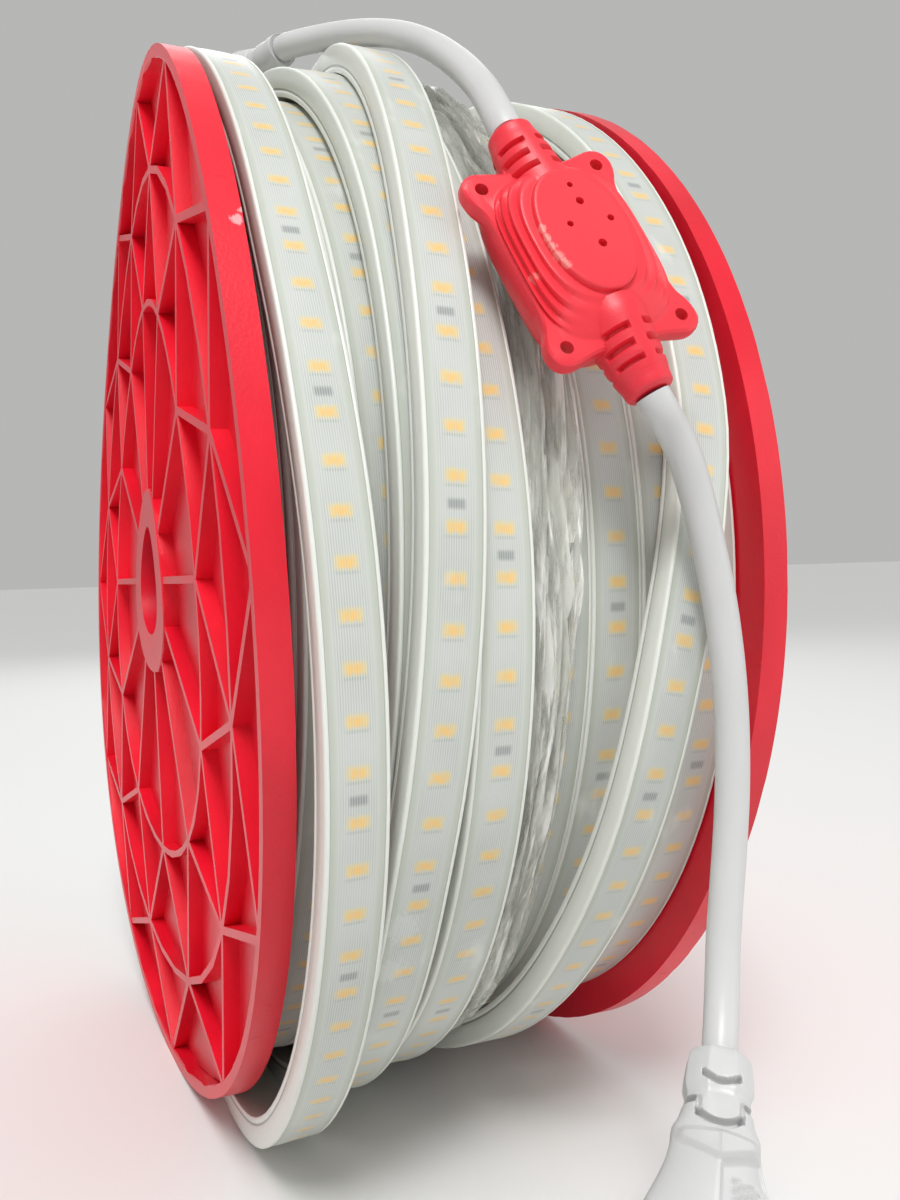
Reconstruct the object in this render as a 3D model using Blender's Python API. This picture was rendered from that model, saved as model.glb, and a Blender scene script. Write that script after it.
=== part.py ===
"""LED rope light: milky LED strip overfilling a red moulded reel, with its lead, rectifier box and plug.

Metres, +Z up. The reel's axis lies along X, the ribbed near flange faces -X, and the reel stands on
its rims at z = 0. Angles round the reel start at the top and run over the front (-Y) to the bottom.
"""

from math import cos, pi, radians, sin, sqrt, tau

import bmesh
import bpy
from mathutils import Matrix, Vector

# Fits: the gap kept between pieces that touch.
CLEARANCE = 0.0003

# Reel
FLANGE_RADIUS = 0.125
FLANGE_WIDTH = 0.0055
FLANGE_SIDES = 72
RIM_WALL = 0.0024
RIB_THICKNESS = 0.0017
RIB_RECESS = 0.0004
FLANGE_PLATE = 0.0018
INNER_RING_RADIUS = 0.070
OUTER_RING_RADIUS = 0.100
HUB_RADIUS = 0.024
BORE_RADIUS = 0.014
RIB_SECTORS = 12
FLANGE_WARP = 0.0028
WARP_PHASE = radians(-28)
REEL_GAP = 0.090
CORE_RADIUS = 0.045
CORE_WALL = 0.003
CORE_SIDES = 36

# Strip and its tight winding
STRIP_WIDTH = 0.0108
STRIP_THICKNESS = 0.0062
WINDING_BELOW_RIM = 0.0075
WINDING_RADIUS = FLANGE_RADIUS - WINDING_BELOW_RIM
WINDING_SIDES = 36
WINDING_GROOVE = 0.0016
GROOVE_FLANK = 0.35
LANE_CREASE = 0.0014
LANE_SHOULDER = 0.22
TURN_STEP = 7.5

# Clear wrap that lies between the turns
WRAP_WIDTH = 0.0092
# Its section, as (share of the half width, share of the height) from its lower left corner round.
WRAP_SECTION = ((-1.0, 0.0), (1.0, 0.0), (1.0, 0.6), (0.5, 1.0), (-0.4, 1.0), (-1.0, 0.7))

# Connector on the end of the strip
CONNECTOR_LENGTH = 0.022
CONNECTOR_WIDTH = 0.0126
CONNECTOR_THICKNESS = 0.0082
CONNECTOR_SLEEVE_WALL = 0.0014

# Leads
LEAD_DIAMETER = 0.0060
LEAD_STEP = 0.008
LEAD_STRAIGHT = 0.0025

# Rectifier box
BOX_LENGTH = 0.0362
BOX_WIDTH = 0.0270
BOX_HEIGHT = 0.0126
# Outlines of the housing, as shares of its height, half width and half length, and how square each is.
BOX_OUTLINES = (
    (0.0, 0.80, 0.90, 4), (0.20, 0.95, 0.97, 4), (0.48, 1.0, 1.0, 4), (0.68, 0.95, 0.98, 4),
    (0.84, 0.80, 0.88, 3), (0.94, 0.60, 0.74, 2.2), (1.0, 0.56, 0.71, 2),
)
BOX_SEAT_RADIUS = 0.1303
BOX_ANGLE = 67.4
BOX_X = 0.0568
BOX_SWING = radians(16)
BOX_ROLL = radians(6)
LUG_SPACING_WIDTH = 0.0236
LUG_SPACING_LENGTH = 0.0318
LUG_RADIUS = 0.0034
LUG_HOLE_RADIUS = 0.0012
LUG_TOP = 0.0085
LUG_THICKNESS = 0.0032
RELIEF_RADIUS = 0.0050
RELIEF_REACH = 0.0270
RELIEF_ROOT_RADIUS = 0.0066
RELIEF_HEIGHT = 0.0064

# Plug
PLUG_LENGTH = 0.044
PLUG_WIDTH = 0.0352
PLUG_THICKNESS = 0.0138
PLUG_NECK = 0.0102
# Outlines of the sleeve and of the grip, as shares of the length and of the half sizes, and how square each is.
SLEEVE_OUTLINES = ((0.0, 0.86, 2.6), (0.035, 0.98, 2.6), (0.16, 1.06, 2.6), (0.20, 0.96, 2.6), (0.30, 1.10, 2.6))
GRIP_OUTLINES = ((0.44, 0.44, 0.94, 2.4), (0.72, 0.76, 1.0, 2.6), (0.88, 1.0, 0.97, 2.8), (1.0, 1.0, 0.94, 2.8))
PIN_LENGTH = 0.019
PIN_DIAMETER = 0.0040
PIN_SPACING = 0.0186

# Place of the reel: its axis, and the outer faces of its flanges
AXIS_Y = 0.0004
AXIS_Z = FLANGE_RADIUS * cos(pi / FLANGE_SIDES)
NEAR_X = -(FLANGE_WIDTH + REEL_GAP / 2) + FLANGE_WARP / 2
FAR_X = NEAR_X + 2 * FLANGE_WIDTH + REEL_GAP

WINDING_START = FLANGE_WIDTH + FLANGE_WARP + CLEARANCE
WINDING_END = FLANGE_WIDTH + REEL_GAP - CLEARANCE
LANES = int((WINDING_END - WINDING_START) / STRIP_WIDTH)
LANE_PITCH = (WINDING_END - WINDING_START) / LANES

# Turns of the outer layers as (angle in degrees, lane, rise of the outer face in strip thicknesses).
# Lane 0.5 is the middle of the lane beside the near flange, and a rise of 1 lies flat on the winding.
LOOSE_TURNS = (
    (-187, 6.20, 1.08), (-150, 6.35, 1.08), (-90, 6.90, 1.10), (0, 7.25, 1.20), (50, 7.28, 1.22), (76, 7.10, 1.25),
    (88, 6.60, 1.50), (97, 6.05, 1.95), (110, 5.60, 2.15), (130, 5.25, 1.80), (155, 5.10, 1.32),
    (180, 5.08, 1.15), (210, 5.00, 1.10), (270, 4.20, 1.10), (330, 3.50, 1.12), (360, 3.35, 1.14),
    (420, 3.02, 1.20), (435, 2.95, 1.40), (450, 2.87, 1.80), (465, 2.80, 2.05), (480, 2.82, 1.90),
    (510, 2.95, 1.40), (540, 3.00, 1.20), (570, 3.05, 1.12), (600, 3.25, 2.30), (630, 3.40, 2.30),
    (720, 3.75, 2.22), (750, 3.05, 2.24), (780, 2.32, 2.45), (795, 2.08, 2.52), (810, 1.88, 2.52),
    (825, 1.68, 2.46), (835, 1.58, 2.40), (860, 1.62, 2.10), (885, 1.72, 1.55), (900, 1.78, 1.30),
    (930, 1.76, 1.12), (970, 1.40, 1.10), (1020, 0.80, 1.14), (1080, 0.36, 1.58), (1110, 0.24, 1.24),
    (1140, 0.18, 1.10), (1155, 0.24, 1.45), (1170, 0.33, 2.10), (1185, 0.40, 2.66), (1197, 0.44, 3.02),
    (1215, 0.48, 3.30), (1230, 0.50, 3.10), (1245, 0.52, 2.00), (1260, 0.54, 1.25), (1275, 0.56, 1.60),
    (1290, 0.66, 2.36), (1320, 1.40, 2.38), (1345, 2.14, 2.38), (1370, 1.85, 2.42), (1395, 1.20, 2.58),
    (1412, 0.94, 2.62), (1426, 0.98, 2.62),
    (1434, 1.24, 2.62), (1441.5, 1.72, 2.62),
)

# The turn that comes out from under its neighbours at the front and dives under them again.
UNDER_TURN = (
    (-95, 2.25, 1.10), (-80, 2.24, 1.10), (-40, 2.20, 1.12), (0, 2.14, 1.16), (30, 2.10, 1.18),
    (60, 2.00, 1.24), (90, 1.76, 1.34), (110, 1.62, 1.30), (124, 1.62, 1.22),
)

# Clear wrap: (angle in degrees, lane, height of its outer face in strip thicknesses).
WRAP_TURN = (
    (-62, 5.20, 0.90), (-20, 4.85, 1.00), (0, 4.50, 1.10), (30, 4.30, 1.50), (60, 4.15, 1.88),
    (75, 4.10, 1.86), (90, 4.00, 1.55), (115, 3.95, 1.35), (150, 4.00, 1.00), (180, 3.98, 0.90),
    (196, 3.98, 0.80),
)

# Routes of the two leads between their ends, from the middle of the near flange's outer face.
UPPER_LEAD = (
    (0.0425, -0.0375, 0.1293), (0.0468, -0.0475, 0.1261), (0.0503, -0.0625, 0.1193),
    (0.0517, -0.0790, 0.1091), (0.0513, -0.0945, 0.0975), (0.0497, -0.1065, 0.0875),
)
LOWER_LEAD = (
    (0.0676, -0.1352, 0.0236), (0.0705, -0.1345, 0.0201), (0.0735, -0.1334, 0.0144), (0.0761, -0.1326, 0.0071),
    (0.0790, -0.1330, -0.0064), (0.0802, -0.1338, -0.0222), (0.0799, -0.1342, -0.0379),
    (0.0786, -0.1343, -0.0510), (0.0770, -0.1345, -0.0626), (0.0762, -0.1350, -0.0680),
    (0.0749, -0.1363, -0.0732), (0.0729, -0.1384, -0.0779),
)

# Cable end of the plug from the same place, its direction, and the side its wide face lies towards.
PLUG_START = (0.0703, -0.1412, -0.0819)
PLUG_DIRECTION = (-0.518, -0.567, -0.640)
PLUG_ACROSS = (0.92, -0.40, 0.0)


def clear_scene():
    for obj in list(bpy.data.objects):
        bpy.data.objects.remove(obj, do_unlink=True)


def plastic(name, colour, roughness, metallic=0.0, alpha=1.0):
    material = bpy.data.materials.new(name)
    material.use_nodes = True
    shader = material.node_tree.nodes["Principled BSDF"]
    shader.inputs["Base Color"].default_value = (*colour, 1.0)
    shader.inputs["Roughness"].default_value = roughness
    shader.inputs["Metallic"].default_value = metallic
    shader.inputs["Alpha"].default_value = alpha
    return material


def reel_red():
    return plastic("reel_red", (0.62, 0.012, 0.035), 0.42)


def box_red():
    return plastic("box_red", (0.76, 0.035, 0.045), 0.48)


def strip_milky():
    return plastic("strip_milky", (0.70, 0.74, 0.69), 0.32)


def wrap_clear():
    return plastic("wrap_clear", (0.82, 0.84, 0.78), 0.15, alpha=0.5)


def lead_white():
    return plastic("lead_white", (0.86, 0.86, 0.86), 0.38)


def pin_metal():
    return plastic("pin_metal", (0.78, 0.76, 0.70), 0.25, metallic=1.0)


def add_object(name, vertices, faces, material, sharp_degrees=35):
    mesh = bpy.data.meshes.new(name)
    mesh.from_pydata([tuple(v) for v in vertices], [], faces)
    mesh.validate()
    mesh.shade_smooth()
    mesh.set_sharp_from_angle(angle=radians(sharp_degrees))
    if material:
        mesh.materials.append(material)
    obj = bpy.data.objects.new(name, mesh)
    bpy.context.scene.collection.objects.link(obj)
    return obj


def as_helper(obj):
    obj.hide_render = True
    obj.display_type = "WIRE"
    return obj


def bridge(rings, closed):
    """Vertices and faces that join rings of equally many points, with flat ends unless closed."""
    count = len(rings[0])
    vertices = [point for ring in rings for point in ring]
    faces = []
    for i in range(len(rings) if closed else len(rings) - 1):
        a = i * count
        b = (i + 1) % len(rings) * count
        for k in range(count):
            n = (k + 1) % count
            faces.append((a + k, a + n, b + n, b + k))
    if not closed:
        faces.append(tuple(reversed(range(count))))
        faces.append(tuple(range((len(rings) - 1) * count, len(rings) * count)))
    return vertices, faces


def outward(obj):
    """Turns the faces of a closed mesh outwards."""
    edit = bmesh.new()
    edit.from_mesh(obj.data)
    bmesh.ops.recalc_face_normals(edit, faces=edit.faces)
    edit.to_mesh(obj.data)
    edit.free()
    return obj


def join(target, other, operation):
    modifier = target.modifiers.new(other.name, "BOOLEAN")
    modifier.operation = operation
    modifier.object = other
    as_helper(other)


def reel_point(x, y, z):
    """A point given from the middle of the near flange's outer face."""
    return Vector((NEAR_X + x, AXIS_Y + y, AXIS_Z + z))


def around_axis(x, radius, angle):
    """A point at an angle round the reel's axis, from the top over the front."""
    return reel_point(x, -radius * sin(angle), radius * cos(angle))


def turned(name, profile, sides, material, phase=0.0):
    """A closed profile of (x, radius) turned round the reel's axis."""
    rings = []
    for k in range(sides):
        angle = tau * (k + phase) / sides
        rings.append([around_axis(x, radius, angle) for x, radius in profile])
    return outward(add_object(name, *bridge(rings, True), material))


def saddle(y, z, height):
    """How far a moulded flange bends out of its plane: a saddle that grows with the radius."""
    radius = sqrt(y * y + z * z)
    double_sine = 2 * y * z / radius**2
    double_cosine = (y * y - z * z) / radius**2
    return height * radius / FLANGE_RADIUS * (double_sine * cos(WARP_PHASE) + double_cosine * sin(WARP_PHASE))


def flange_point(x, radius, angle, height):
    y = -radius * sin(angle)
    z = radius * cos(angle)
    return Vector((x + saddle(y, z, height), y, z))


def flange_blank(name, height, material):
    """The flange before its pockets: a disc with a bore and a rim lip that stands a little proud."""
    rim_inside = FLANGE_RADIUS - RIM_WALL
    profile = (
        (0.0, FLANGE_RADIUS), (0.0, rim_inside), (RIB_RECESS, rim_inside - RIB_RECESS),
        (RIB_RECESS, OUTER_RING_RADIUS), (RIB_RECESS, INNER_RING_RADIUS), (RIB_RECESS, HUB_RADIUS),
        (0.0, HUB_RADIUS - RIB_RECESS), (0.0, BORE_RADIUS), (FLANGE_WIDTH, BORE_RADIUS),
        (FLANGE_WIDTH, INNER_RING_RADIUS), (FLANGE_WIDTH, FLANGE_RADIUS),
    )
    rings = []
    for k in range(FLANGE_SIDES):
        angle = tau * (k + 0.5) / FLANGE_SIDES
        rings.append([flange_point(x, radius, angle, height) for x, radius in profile])
    return outward(add_object(name, *bridge(rings, True), material))


def inset(outline, amount):
    """A flat outline, listed anticlockwise, with every side moved inwards."""
    moved = []
    count = len(outline)
    for i in range(count):
        before, here, after = outline[i - 1], outline[i], outline[(i + 1) % count]
        first = (here - before).normalized()
        second = (after - here).normalized()
        normal_a = Vector((-first.y, first.x))
        normal_b = Vector((-second.y, second.x))
        mitre = (normal_a + normal_b) / (1 + normal_a.dot(normal_b))
        moved.append(here + mitre * amount)
    return moved


def arc(radius, start, end, steps):
    return [
        Vector((radius * cos(start + (end - start) * k / steps), radius * sin(start + (end - start) * k / steps)))
        for k in range(steps + 1)
    ]


def pocket_outlines():
    """Outlines between the middle lines of the ribs: bays round the hub and two bands of triangles."""
    sector = tau / RIB_SECTORS
    rim_radius = FLANGE_RADIUS - RIM_WALL + RIB_THICKNESS / 2
    for k in range(RIB_SECTORS):
        start = k * sector
        yield arc(INNER_RING_RADIUS, start, start + sector, 4) + arc(
            HUB_RADIUS - RIB_THICKNESS / 2, start + sector, start, 2
        )
    for inner, outer, shift in (
        (INNER_RING_RADIUS, OUTER_RING_RADIUS, 0.0), (OUTER_RING_RADIUS, rim_radius, sector / 2)
    ):
        for k in range(RIB_SECTORS):
            start = k * sector + shift
            middle = start + sector / 2
            yield arc(inner, start + sector, start, 3) + arc(outer, middle, middle, 1)[:1]
            yield arc(outer, start - sector / 2, middle, 3) + arc(inner, start, start, 1)[:1]


def pocket_cutter(name, height):
    """All pockets as prisms that reach from outside the flange down to its plate."""
    vertices = []
    faces = []
    floor = FLANGE_WIDTH - FLANGE_PLATE
    above = -RIB_THICKNESS
    for outline in pocket_outlines():
        outline = inset(outline, RIB_THICKNESS / 2)
        count = len(outline)
        start = len(vertices)
        for level in (above, floor):
            for point in outline:
                shift = saddle(point.x, point.y, height)
                vertices.append(Vector((level + shift, point.x, point.y)))
        for i in range(count):
            n = (i + 1) % count
            faces.append((start + i, start + n, start + count + n, start + count + i))
        faces.append(tuple(start + i for i in reversed(range(count))))
        faces.append(tuple(start + count + i for i in range(count)))
    return outward(add_object(name, vertices, faces, None))


def reel_flange(name, face_x, turn, height, material):
    """A ribbed flange with its outer face at face_x, turned about Z to look outwards."""
    flange = flange_blank(name, height, material)
    cutter = pocket_cutter(name + "_pockets", height)
    for obj in (flange, cutter):
        obj.location = (face_x, AXIS_Y, AXIS_Z)
        obj.rotation_euler = (0.0, 0.0, turn)
    join(flange, cutter, "DIFFERENCE")


def reel_core(material):
    """The barrel between the flanges, which carries the winding."""
    start = FLANGE_WIDTH + FLANGE_WARP * CORE_RADIUS / FLANGE_RADIUS + CLEARANCE
    end = FLANGE_WIDTH + REEL_GAP - CLEARANCE
    inside = CORE_RADIUS - CORE_WALL
    profile = ((start, CORE_RADIUS), (start, inside), (end, inside), (end, CORE_RADIUS))
    turned("reel_core", profile, CORE_SIDES, material, phase=0.5)


def strip_winding(material):
    """The tight turns: one solid with a crown for each lane, and its layers showing as grooves on its ends."""
    bore = CORE_RADIUS + CLEARANCE
    grooves = int((WINDING_RADIUS - bore) / (2 * STRIP_THICKNESS))
    groove_pitch = (WINDING_RADIUS - bore) / grooves
    profile = []
    for lane in range(LANES):
        left = WINDING_START + lane * LANE_PITCH
        profile.append((left, WINDING_RADIUS - LANE_CREASE))
        profile.append((left + LANE_PITCH * LANE_SHOULDER, WINDING_RADIUS))
        profile.append((left + LANE_PITCH * (1 - LANE_SHOULDER), WINDING_RADIUS))
    profile.append((WINDING_END, WINDING_RADIUS - LANE_CREASE))
    for step in range(1, grooves):
        radius = WINDING_RADIUS - step * groove_pitch
        profile.append((WINDING_END, radius + groove_pitch * GROOVE_FLANK))
        profile.append((WINDING_END - WINDING_GROOVE, radius))
    profile.append((WINDING_END, bore))
    profile.append((WINDING_START, bore))
    for step in range(grooves - 1, 0, -1):
        radius = WINDING_RADIUS - step * groove_pitch
        profile.append((WINDING_START + WINDING_GROOVE, radius))
        profile.append((WINDING_START, radius + groove_pitch * GROOVE_FLANK))
    turned("strip_winding", profile, WINDING_SIDES, material, phase=0.5)


def lane_x(lane):
    return WINDING_START + lane * LANE_PITCH


def between(table, angle):
    """Smooth values of a table of (angle, value, value) at an angle."""
    index = 0
    while index < len(table) - 2 and table[index + 1][0] < angle:
        index += 1
    low, high = table[index], table[index + 1]
    before = table[max(index - 1, 0)]
    after = table[min(index + 2, len(table) - 1)]
    span = high[0] - low[0]
    t = (angle - low[0]) / span
    values = []
    for column in (1, 2):
        low_slope = (high[column] - before[column]) / (high[0] - before[0]) * span
        high_slope = (after[column] - low[column]) / (after[0] - low[0]) * span
        values.append(
            (2 * t**3 - 3 * t**2 + 1) * low[column]
            + (t**3 - 2 * t**2 + t) * low_slope
            + (3 * t**2 - 2 * t**3) * high[column]
            + (t**3 - t**2) * high_slope
        )
    return values


def turn_path(table, thickness):
    """Middle points of a strip that follows a table of turns and lies flat where it meets the floor."""
    start = table[0][0]
    end = table[-1][0]
    steps = round((end - start) / TURN_STEP)
    points = []
    for k in range(steps + 1):
        angle = start + (end - start) * k / steps
        lane, rise = between(table, angle)
        radius = WINDING_RADIUS + rise * STRIP_THICKNESS - thickness / 2
        point = around_axis(lane_x(lane), radius, radians(angle))
        point.z = max(point.z, thickness / 2)
        points.append(point)
    return points


def swept(name, points, section, material):
    """A flat strip along points, its section given as (across, outwards) from the middle."""
    rings = []
    for i, point in enumerate(points):
        ahead = points[min(i + 1, len(points) - 1)]
        behind = points[max(i - 1, 0)]
        run = (ahead - behind).normalized()
        across = Vector((1.0, 0.0, 0.0))
        across = (across - run * across.dot(run)).normalized()
        out = across.cross(run)
        rings.append([point + across * a + out * b for a, b in section])
    return outward(add_object(name, *bridge(rings, False), material))


def strip_section():
    half_width = STRIP_WIDTH / 2
    half_height = STRIP_THICKNESS / 2
    return ((-half_width, -half_height), (half_width, -half_height), (half_width, half_height), (-half_width, half_height))


def strip_turns(material):
    swept("strip_loose_turns", turn_path(LOOSE_TURNS, STRIP_THICKNESS), strip_section(), material)
    swept("strip_under_turn", turn_path(UNDER_TURN, STRIP_THICKNESS), strip_section(), material)


def wrap_film(material):
    """The crumpled clear wrap, a flat bundle that sits on the tight winding."""
    start, end = WRAP_TURN[0][0], WRAP_TURN[-1][0]
    steps = round((end - start) / TURN_STEP)
    half = WRAP_WIDTH / 2
    low = WINDING_RADIUS + CLEARANCE
    rings = []
    for k in range(steps + 1):
        angle = start + (end - start) * k / steps
        lane, rise = between(WRAP_TURN, angle)
        height = rise * STRIP_THICKNESS
        ring = []
        for across, up in WRAP_SECTION:
            ring.append(around_axis(lane_x(lane) + across * half, low + up * height, radians(angle)))
        rings.append(ring)
    return outward(add_object("wrap_film", *bridge(rings, False), material))


def rounded(half_width, half_height, power, count):
    """A rounded outline between an ellipse (power 2) and a rectangle, from +width anticlockwise."""
    outline = []
    for k in range(count):
        angle = tau * (k + 0.5) / count
        c, s = cos(angle), sin(angle)
        scale = (abs(c) ** power + abs(s) ** power) ** (-1 / power)
        outline.append((half_width * c * scale, half_height * s * scale))
    return outline


def frame_at(origin, along, across):
    """A placement whose Y runs along and whose X lies towards across, at origin."""
    y = Vector(along).normalized()
    x = Vector(across)
    x = (x - y * x.dot(y)).normalized()
    z = x.cross(y)
    placement = Matrix((x, y, z)).transposed().to_4x4()
    placement.translation = Vector(origin)
    return placement


def loft(name, stations, placement, material, sharp_degrees=35):
    """Outlines of (x, z) at distances along Y, skinned and placed."""
    rings = [[placement @ Vector((x, y, z)) for x, z in outline] for y, outline in stations]
    return outward(add_object(name, *bridge(rings, False), material, sharp_degrees))


def connector_frame():
    """Where the strip's end meets its connector: on the middle of the strip's end face, Y along the lead."""
    angle = radians(LOOSE_TURNS[-1][0])
    radius = WINDING_RADIUS + LOOSE_TURNS[-1][2] * STRIP_THICKNESS - STRIP_THICKNESS / 2
    path = turn_path(LOOSE_TURNS, STRIP_THICKNESS)
    along = path[-1] - path[-2]
    end = around_axis(lane_x(LOOSE_TURNS[-1][1]), radius, angle)
    return frame_at(end + along.normalized() * CLEARANCE, along, (1.0, 0.0, 0.0))


def strip_end_connector(material):
    """The moulded cap that joins the strip's end to the lead, tapering into its strain relief."""
    half_width = CONNECTOR_WIDTH / 2
    half_height = CONNECTOR_THICKNESS / 2
    neck = LEAD_DIAMETER / 2 + CONNECTOR_SLEEVE_WALL
    lift = half_height - STRIP_THICKNESS / 2
    stations = []
    for share, width, height, power in (
        (0.0, half_width, half_height, 5), (0.42, half_width, half_height, 5),
        (0.55, neck * 1.12, neck * 1.06, 2.4), (1.0, neck * 0.88, neck * 0.88, 2),
    ):
        outline = [(x, z + lift) for x, z in rounded(width, height, power, 16)]
        stations.append((share * CONNECTOR_LENGTH, outline))
    loft("strip_end_connector", stations, connector_frame(), material)


def box_frame():
    """The middle of the box's seat on the winding: Y towards the lower lead, Z outwards."""
    angle = radians(BOX_ANGLE)
    out = Vector((0.0, -sin(angle), cos(angle)))
    down = Vector((0.0, -cos(angle), -sin(angle)))
    along = down * cos(BOX_SWING) + Vector((sin(BOX_SWING), 0.0, 0.0))
    placement = frame_at(around_axis(BOX_X, BOX_SEAT_RADIUS, angle), along, along.cross(out))
    return placement @ Matrix.Rotation(BOX_ROLL, 4, "Y")


def box_body(material):
    """The moulded housing: a bulging skirt, a domed top and the raised oval plate."""
    placement = box_frame() @ Matrix.Rotation(pi / 2, 4, "X")
    half_width, half_length = BOX_WIDTH / 2, BOX_LENGTH / 2
    stations = []
    for share, width, length, power in BOX_OUTLINES:
        outline = [(x, -z) for x, z in rounded(half_width * width, half_length * length, power, 28)]
        stations.append((share * BOX_HEIGHT, outline))
    return loft("rectifier_box", stations, placement, material)


def box_lug(name, across, along):
    """A corner lug, with its screw hole cut as a second body."""
    placement = box_frame() @ Matrix.Rotation(pi / 2, 4, "X")
    bodies = []
    for suffix, radius, low, high in (
        ("", LUG_RADIUS, LUG_TOP - LUG_THICKNESS, LUG_TOP),
        ("_hole", LUG_HOLE_RADIUS, -LUG_THICKNESS, BOX_HEIGHT),
    ):
        circle = [(across + x, -along + z) for x, z in rounded(radius, radius, 2, 12)]
        bodies.append(loft(name + suffix, ((low, circle), (high, circle)), placement, None))
    return bodies


def box_relief(name, side):
    """A strain relief that grows out of the housing as a cone and ends in the slotted sleeve."""
    placement = box_frame() @ Matrix.Translation((0.0, 0.0, RELIEF_HEIGHT))
    stations = []
    for reach, radius in (
        (BOX_LENGTH * 0.22, RELIEF_ROOT_RADIUS), (BOX_LENGTH * 0.46, RELIEF_RADIUS * 1.14),
        (RELIEF_REACH - 0.0008, RELIEF_RADIUS), (RELIEF_REACH, RELIEF_RADIUS * 0.86),
    ):
        stations.append((side * reach, rounded(radius, radius, 2, 16)))
    return loft(name, stations, placement, None)


def rectifier_box(material):
    """The housing, its lugs and its two strain reliefs, moulded as one."""
    body = box_body(material)
    holes = []
    for i, (across, along) in enumerate(((-1, -1), (1, -1), (-1, 1), (1, 1))):
        lug, hole = box_lug(f"lug_{i}", across * LUG_SPACING_WIDTH / 2, along * LUG_SPACING_LENGTH / 2)
        join(body, lug, "UNION")
        holes.append(hole)
    for name, side in (("relief_upper", -1), ("relief_lower", 1)):
        join(body, box_relief(name, side), "UNION")
    for hole in holes:
        join(body, hole, "DIFFERENCE")


def smooth_route(route):
    """Evenly spaced points on the smooth curve through a route's points."""
    route = [route[0] * 2 - route[1]] + route + [route[-1] * 2 - route[-2]]
    fine = []
    for i in range(1, len(route) - 2):
        a, b, c, d = route[i - 1 : i + 3]
        for k in range(24):
            t = k / 24
            fine.append(0.5 * (2 * b + (c - a) * t + (2 * a - 5 * b + 4 * c - d) * t**2
                               + (3 * b - a - 3 * c + d) * t**3))
    fine.append(route[-2])
    lengths = [0.0]
    for a, b in zip(fine, fine[1:]):
        lengths.append(lengths[-1] + (b - a).length)
    count = round(lengths[-1] / LEAD_STEP)
    points = []
    index = 0
    for k in range(count + 1):
        wanted = lengths[-1] * k / count
        while index < len(lengths) - 2 and lengths[index + 1] < wanted:
            index += 1
        share = (wanted - lengths[index]) / (lengths[index + 1] - lengths[index])
        points.append(fine[index].lerp(fine[index + 1], share))
    return points


def connector_tip():
    """Where the upper lead starts: just off the end of the connector's strain relief, and its direction."""
    placement = connector_frame()
    lift = (CONNECTOR_THICKNESS - STRIP_THICKNESS) / 2
    return placement @ Vector((0.0, CONNECTOR_LENGTH + CLEARANCE, lift)), placement.col[1].xyz


def relief_tip(side):
    """Just off the end of one of the box's strain reliefs, and the direction that it points in."""
    placement = box_frame()
    return placement @ Vector((0.0, side * (RELIEF_REACH + CLEARANCE), RELIEF_HEIGHT)), side * placement.col[1].xyz


def lead(name, start, route, end, material):
    """A round cable that leaves one piece squarely, follows its route and meets another squarely."""
    middle = [reel_point(*point) for point in route]
    (first, leaving), (last, arriving) = start, end
    points = [first + leaving * LEAD_STRAIGHT] + middle + [last + arriving * LEAD_STRAIGHT]
    points = [first] + smooth_route(points) + [last]
    curve = bpy.data.curves.new(name, "CURVE")
    curve.dimensions = "3D"
    curve.bevel_depth = LEAD_DIAMETER / 2
    curve.bevel_resolution = 3
    curve.use_fill_caps = True
    spline = curve.splines.new("POLY")
    spline.points.add(len(points) - 1)
    for point, place in zip(spline.points, points):
        point.co = (*place, 1.0)
    curve.materials.append(material)
    obj = bpy.data.objects.new(name, curve)
    bpy.context.scene.collection.objects.link(obj)


def plug_frame():
    """The plug's cable end: Y along the plug towards its pins, X across its wide face."""
    return frame_at(reel_point(*PLUG_START), PLUG_DIRECTION, PLUG_ACROSS)


def plug_tip():
    """Where the lower lead ends: just off the plug's neck, and the direction back along the lead."""
    placement = plug_frame()
    return placement @ Vector((0.0, -CLEARANCE, 0.0)), -placement.col[1].xyz


def plug_body(material):
    """The moulded plug: an eight-sided strain relief that spreads into a flat six-sided grip."""
    stations = []
    for share, size, power in SLEEVE_OUTLINES:
        half = PLUG_NECK / 2 * size
        stations.append((share * PLUG_LENGTH, rounded(half, half, power, 16)))
    for share, width, thickness, power in GRIP_OUTLINES:
        outline = rounded(PLUG_WIDTH / 2 * width, PLUG_THICKNESS / 2 * thickness, power, 16)
        stations.append((share * PLUG_LENGTH, outline))
    loft("plug_body", stations, plug_frame(), material)


def plug_pin(name, side, material):
    """A round pin with a domed end, standing in the plug's face."""
    placement = plug_frame() @ Matrix.Translation((side * PIN_SPACING / 2, PLUG_LENGTH + CLEARANCE, 0.0))
    radius = PIN_DIAMETER / 2
    stations = []
    for reach, width in ((0.0, radius), (PIN_LENGTH - radius * 0.7, radius), (PIN_LENGTH, radius * 0.5)):
        stations.append((reach, rounded(width, width, 2, 12)))
    loft(name, stations, placement, material)


def main():
    clear_scene()
    red = reel_red()
    milky = strip_milky()
    white = lead_white()
    metal = pin_metal()
    reel_flange("reel_flange_near", NEAR_X, 0.0, FLANGE_WARP, red)
    reel_flange("reel_flange_far", FAR_X, pi, 0.0, red)
    reel_core(red)
    strip_winding(milky)
    strip_turns(milky)
    wrap_film(wrap_clear())
    strip_end_connector(white)
    rectifier_box(box_red())
    lead("lead_upper", connector_tip(), UPPER_LEAD, relief_tip(-1), white)
    lead("lead_lower", relief_tip(1), LOWER_LEAD, plug_tip(), white)
    plug_body(white)
    plug_pin("plug_pin_left", -1, metal)
    plug_pin("plug_pin_right", 1, metal)


main()
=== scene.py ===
"""LED rope light: an overfull red reel of milky LED strip, dressed over its CAD frame.

Metres in the CAD's frame: +Z up, the reel's axis along X, the ribbed near flange towards -X, and the
rectifier box and the plug on the -Y side.
"""

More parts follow.
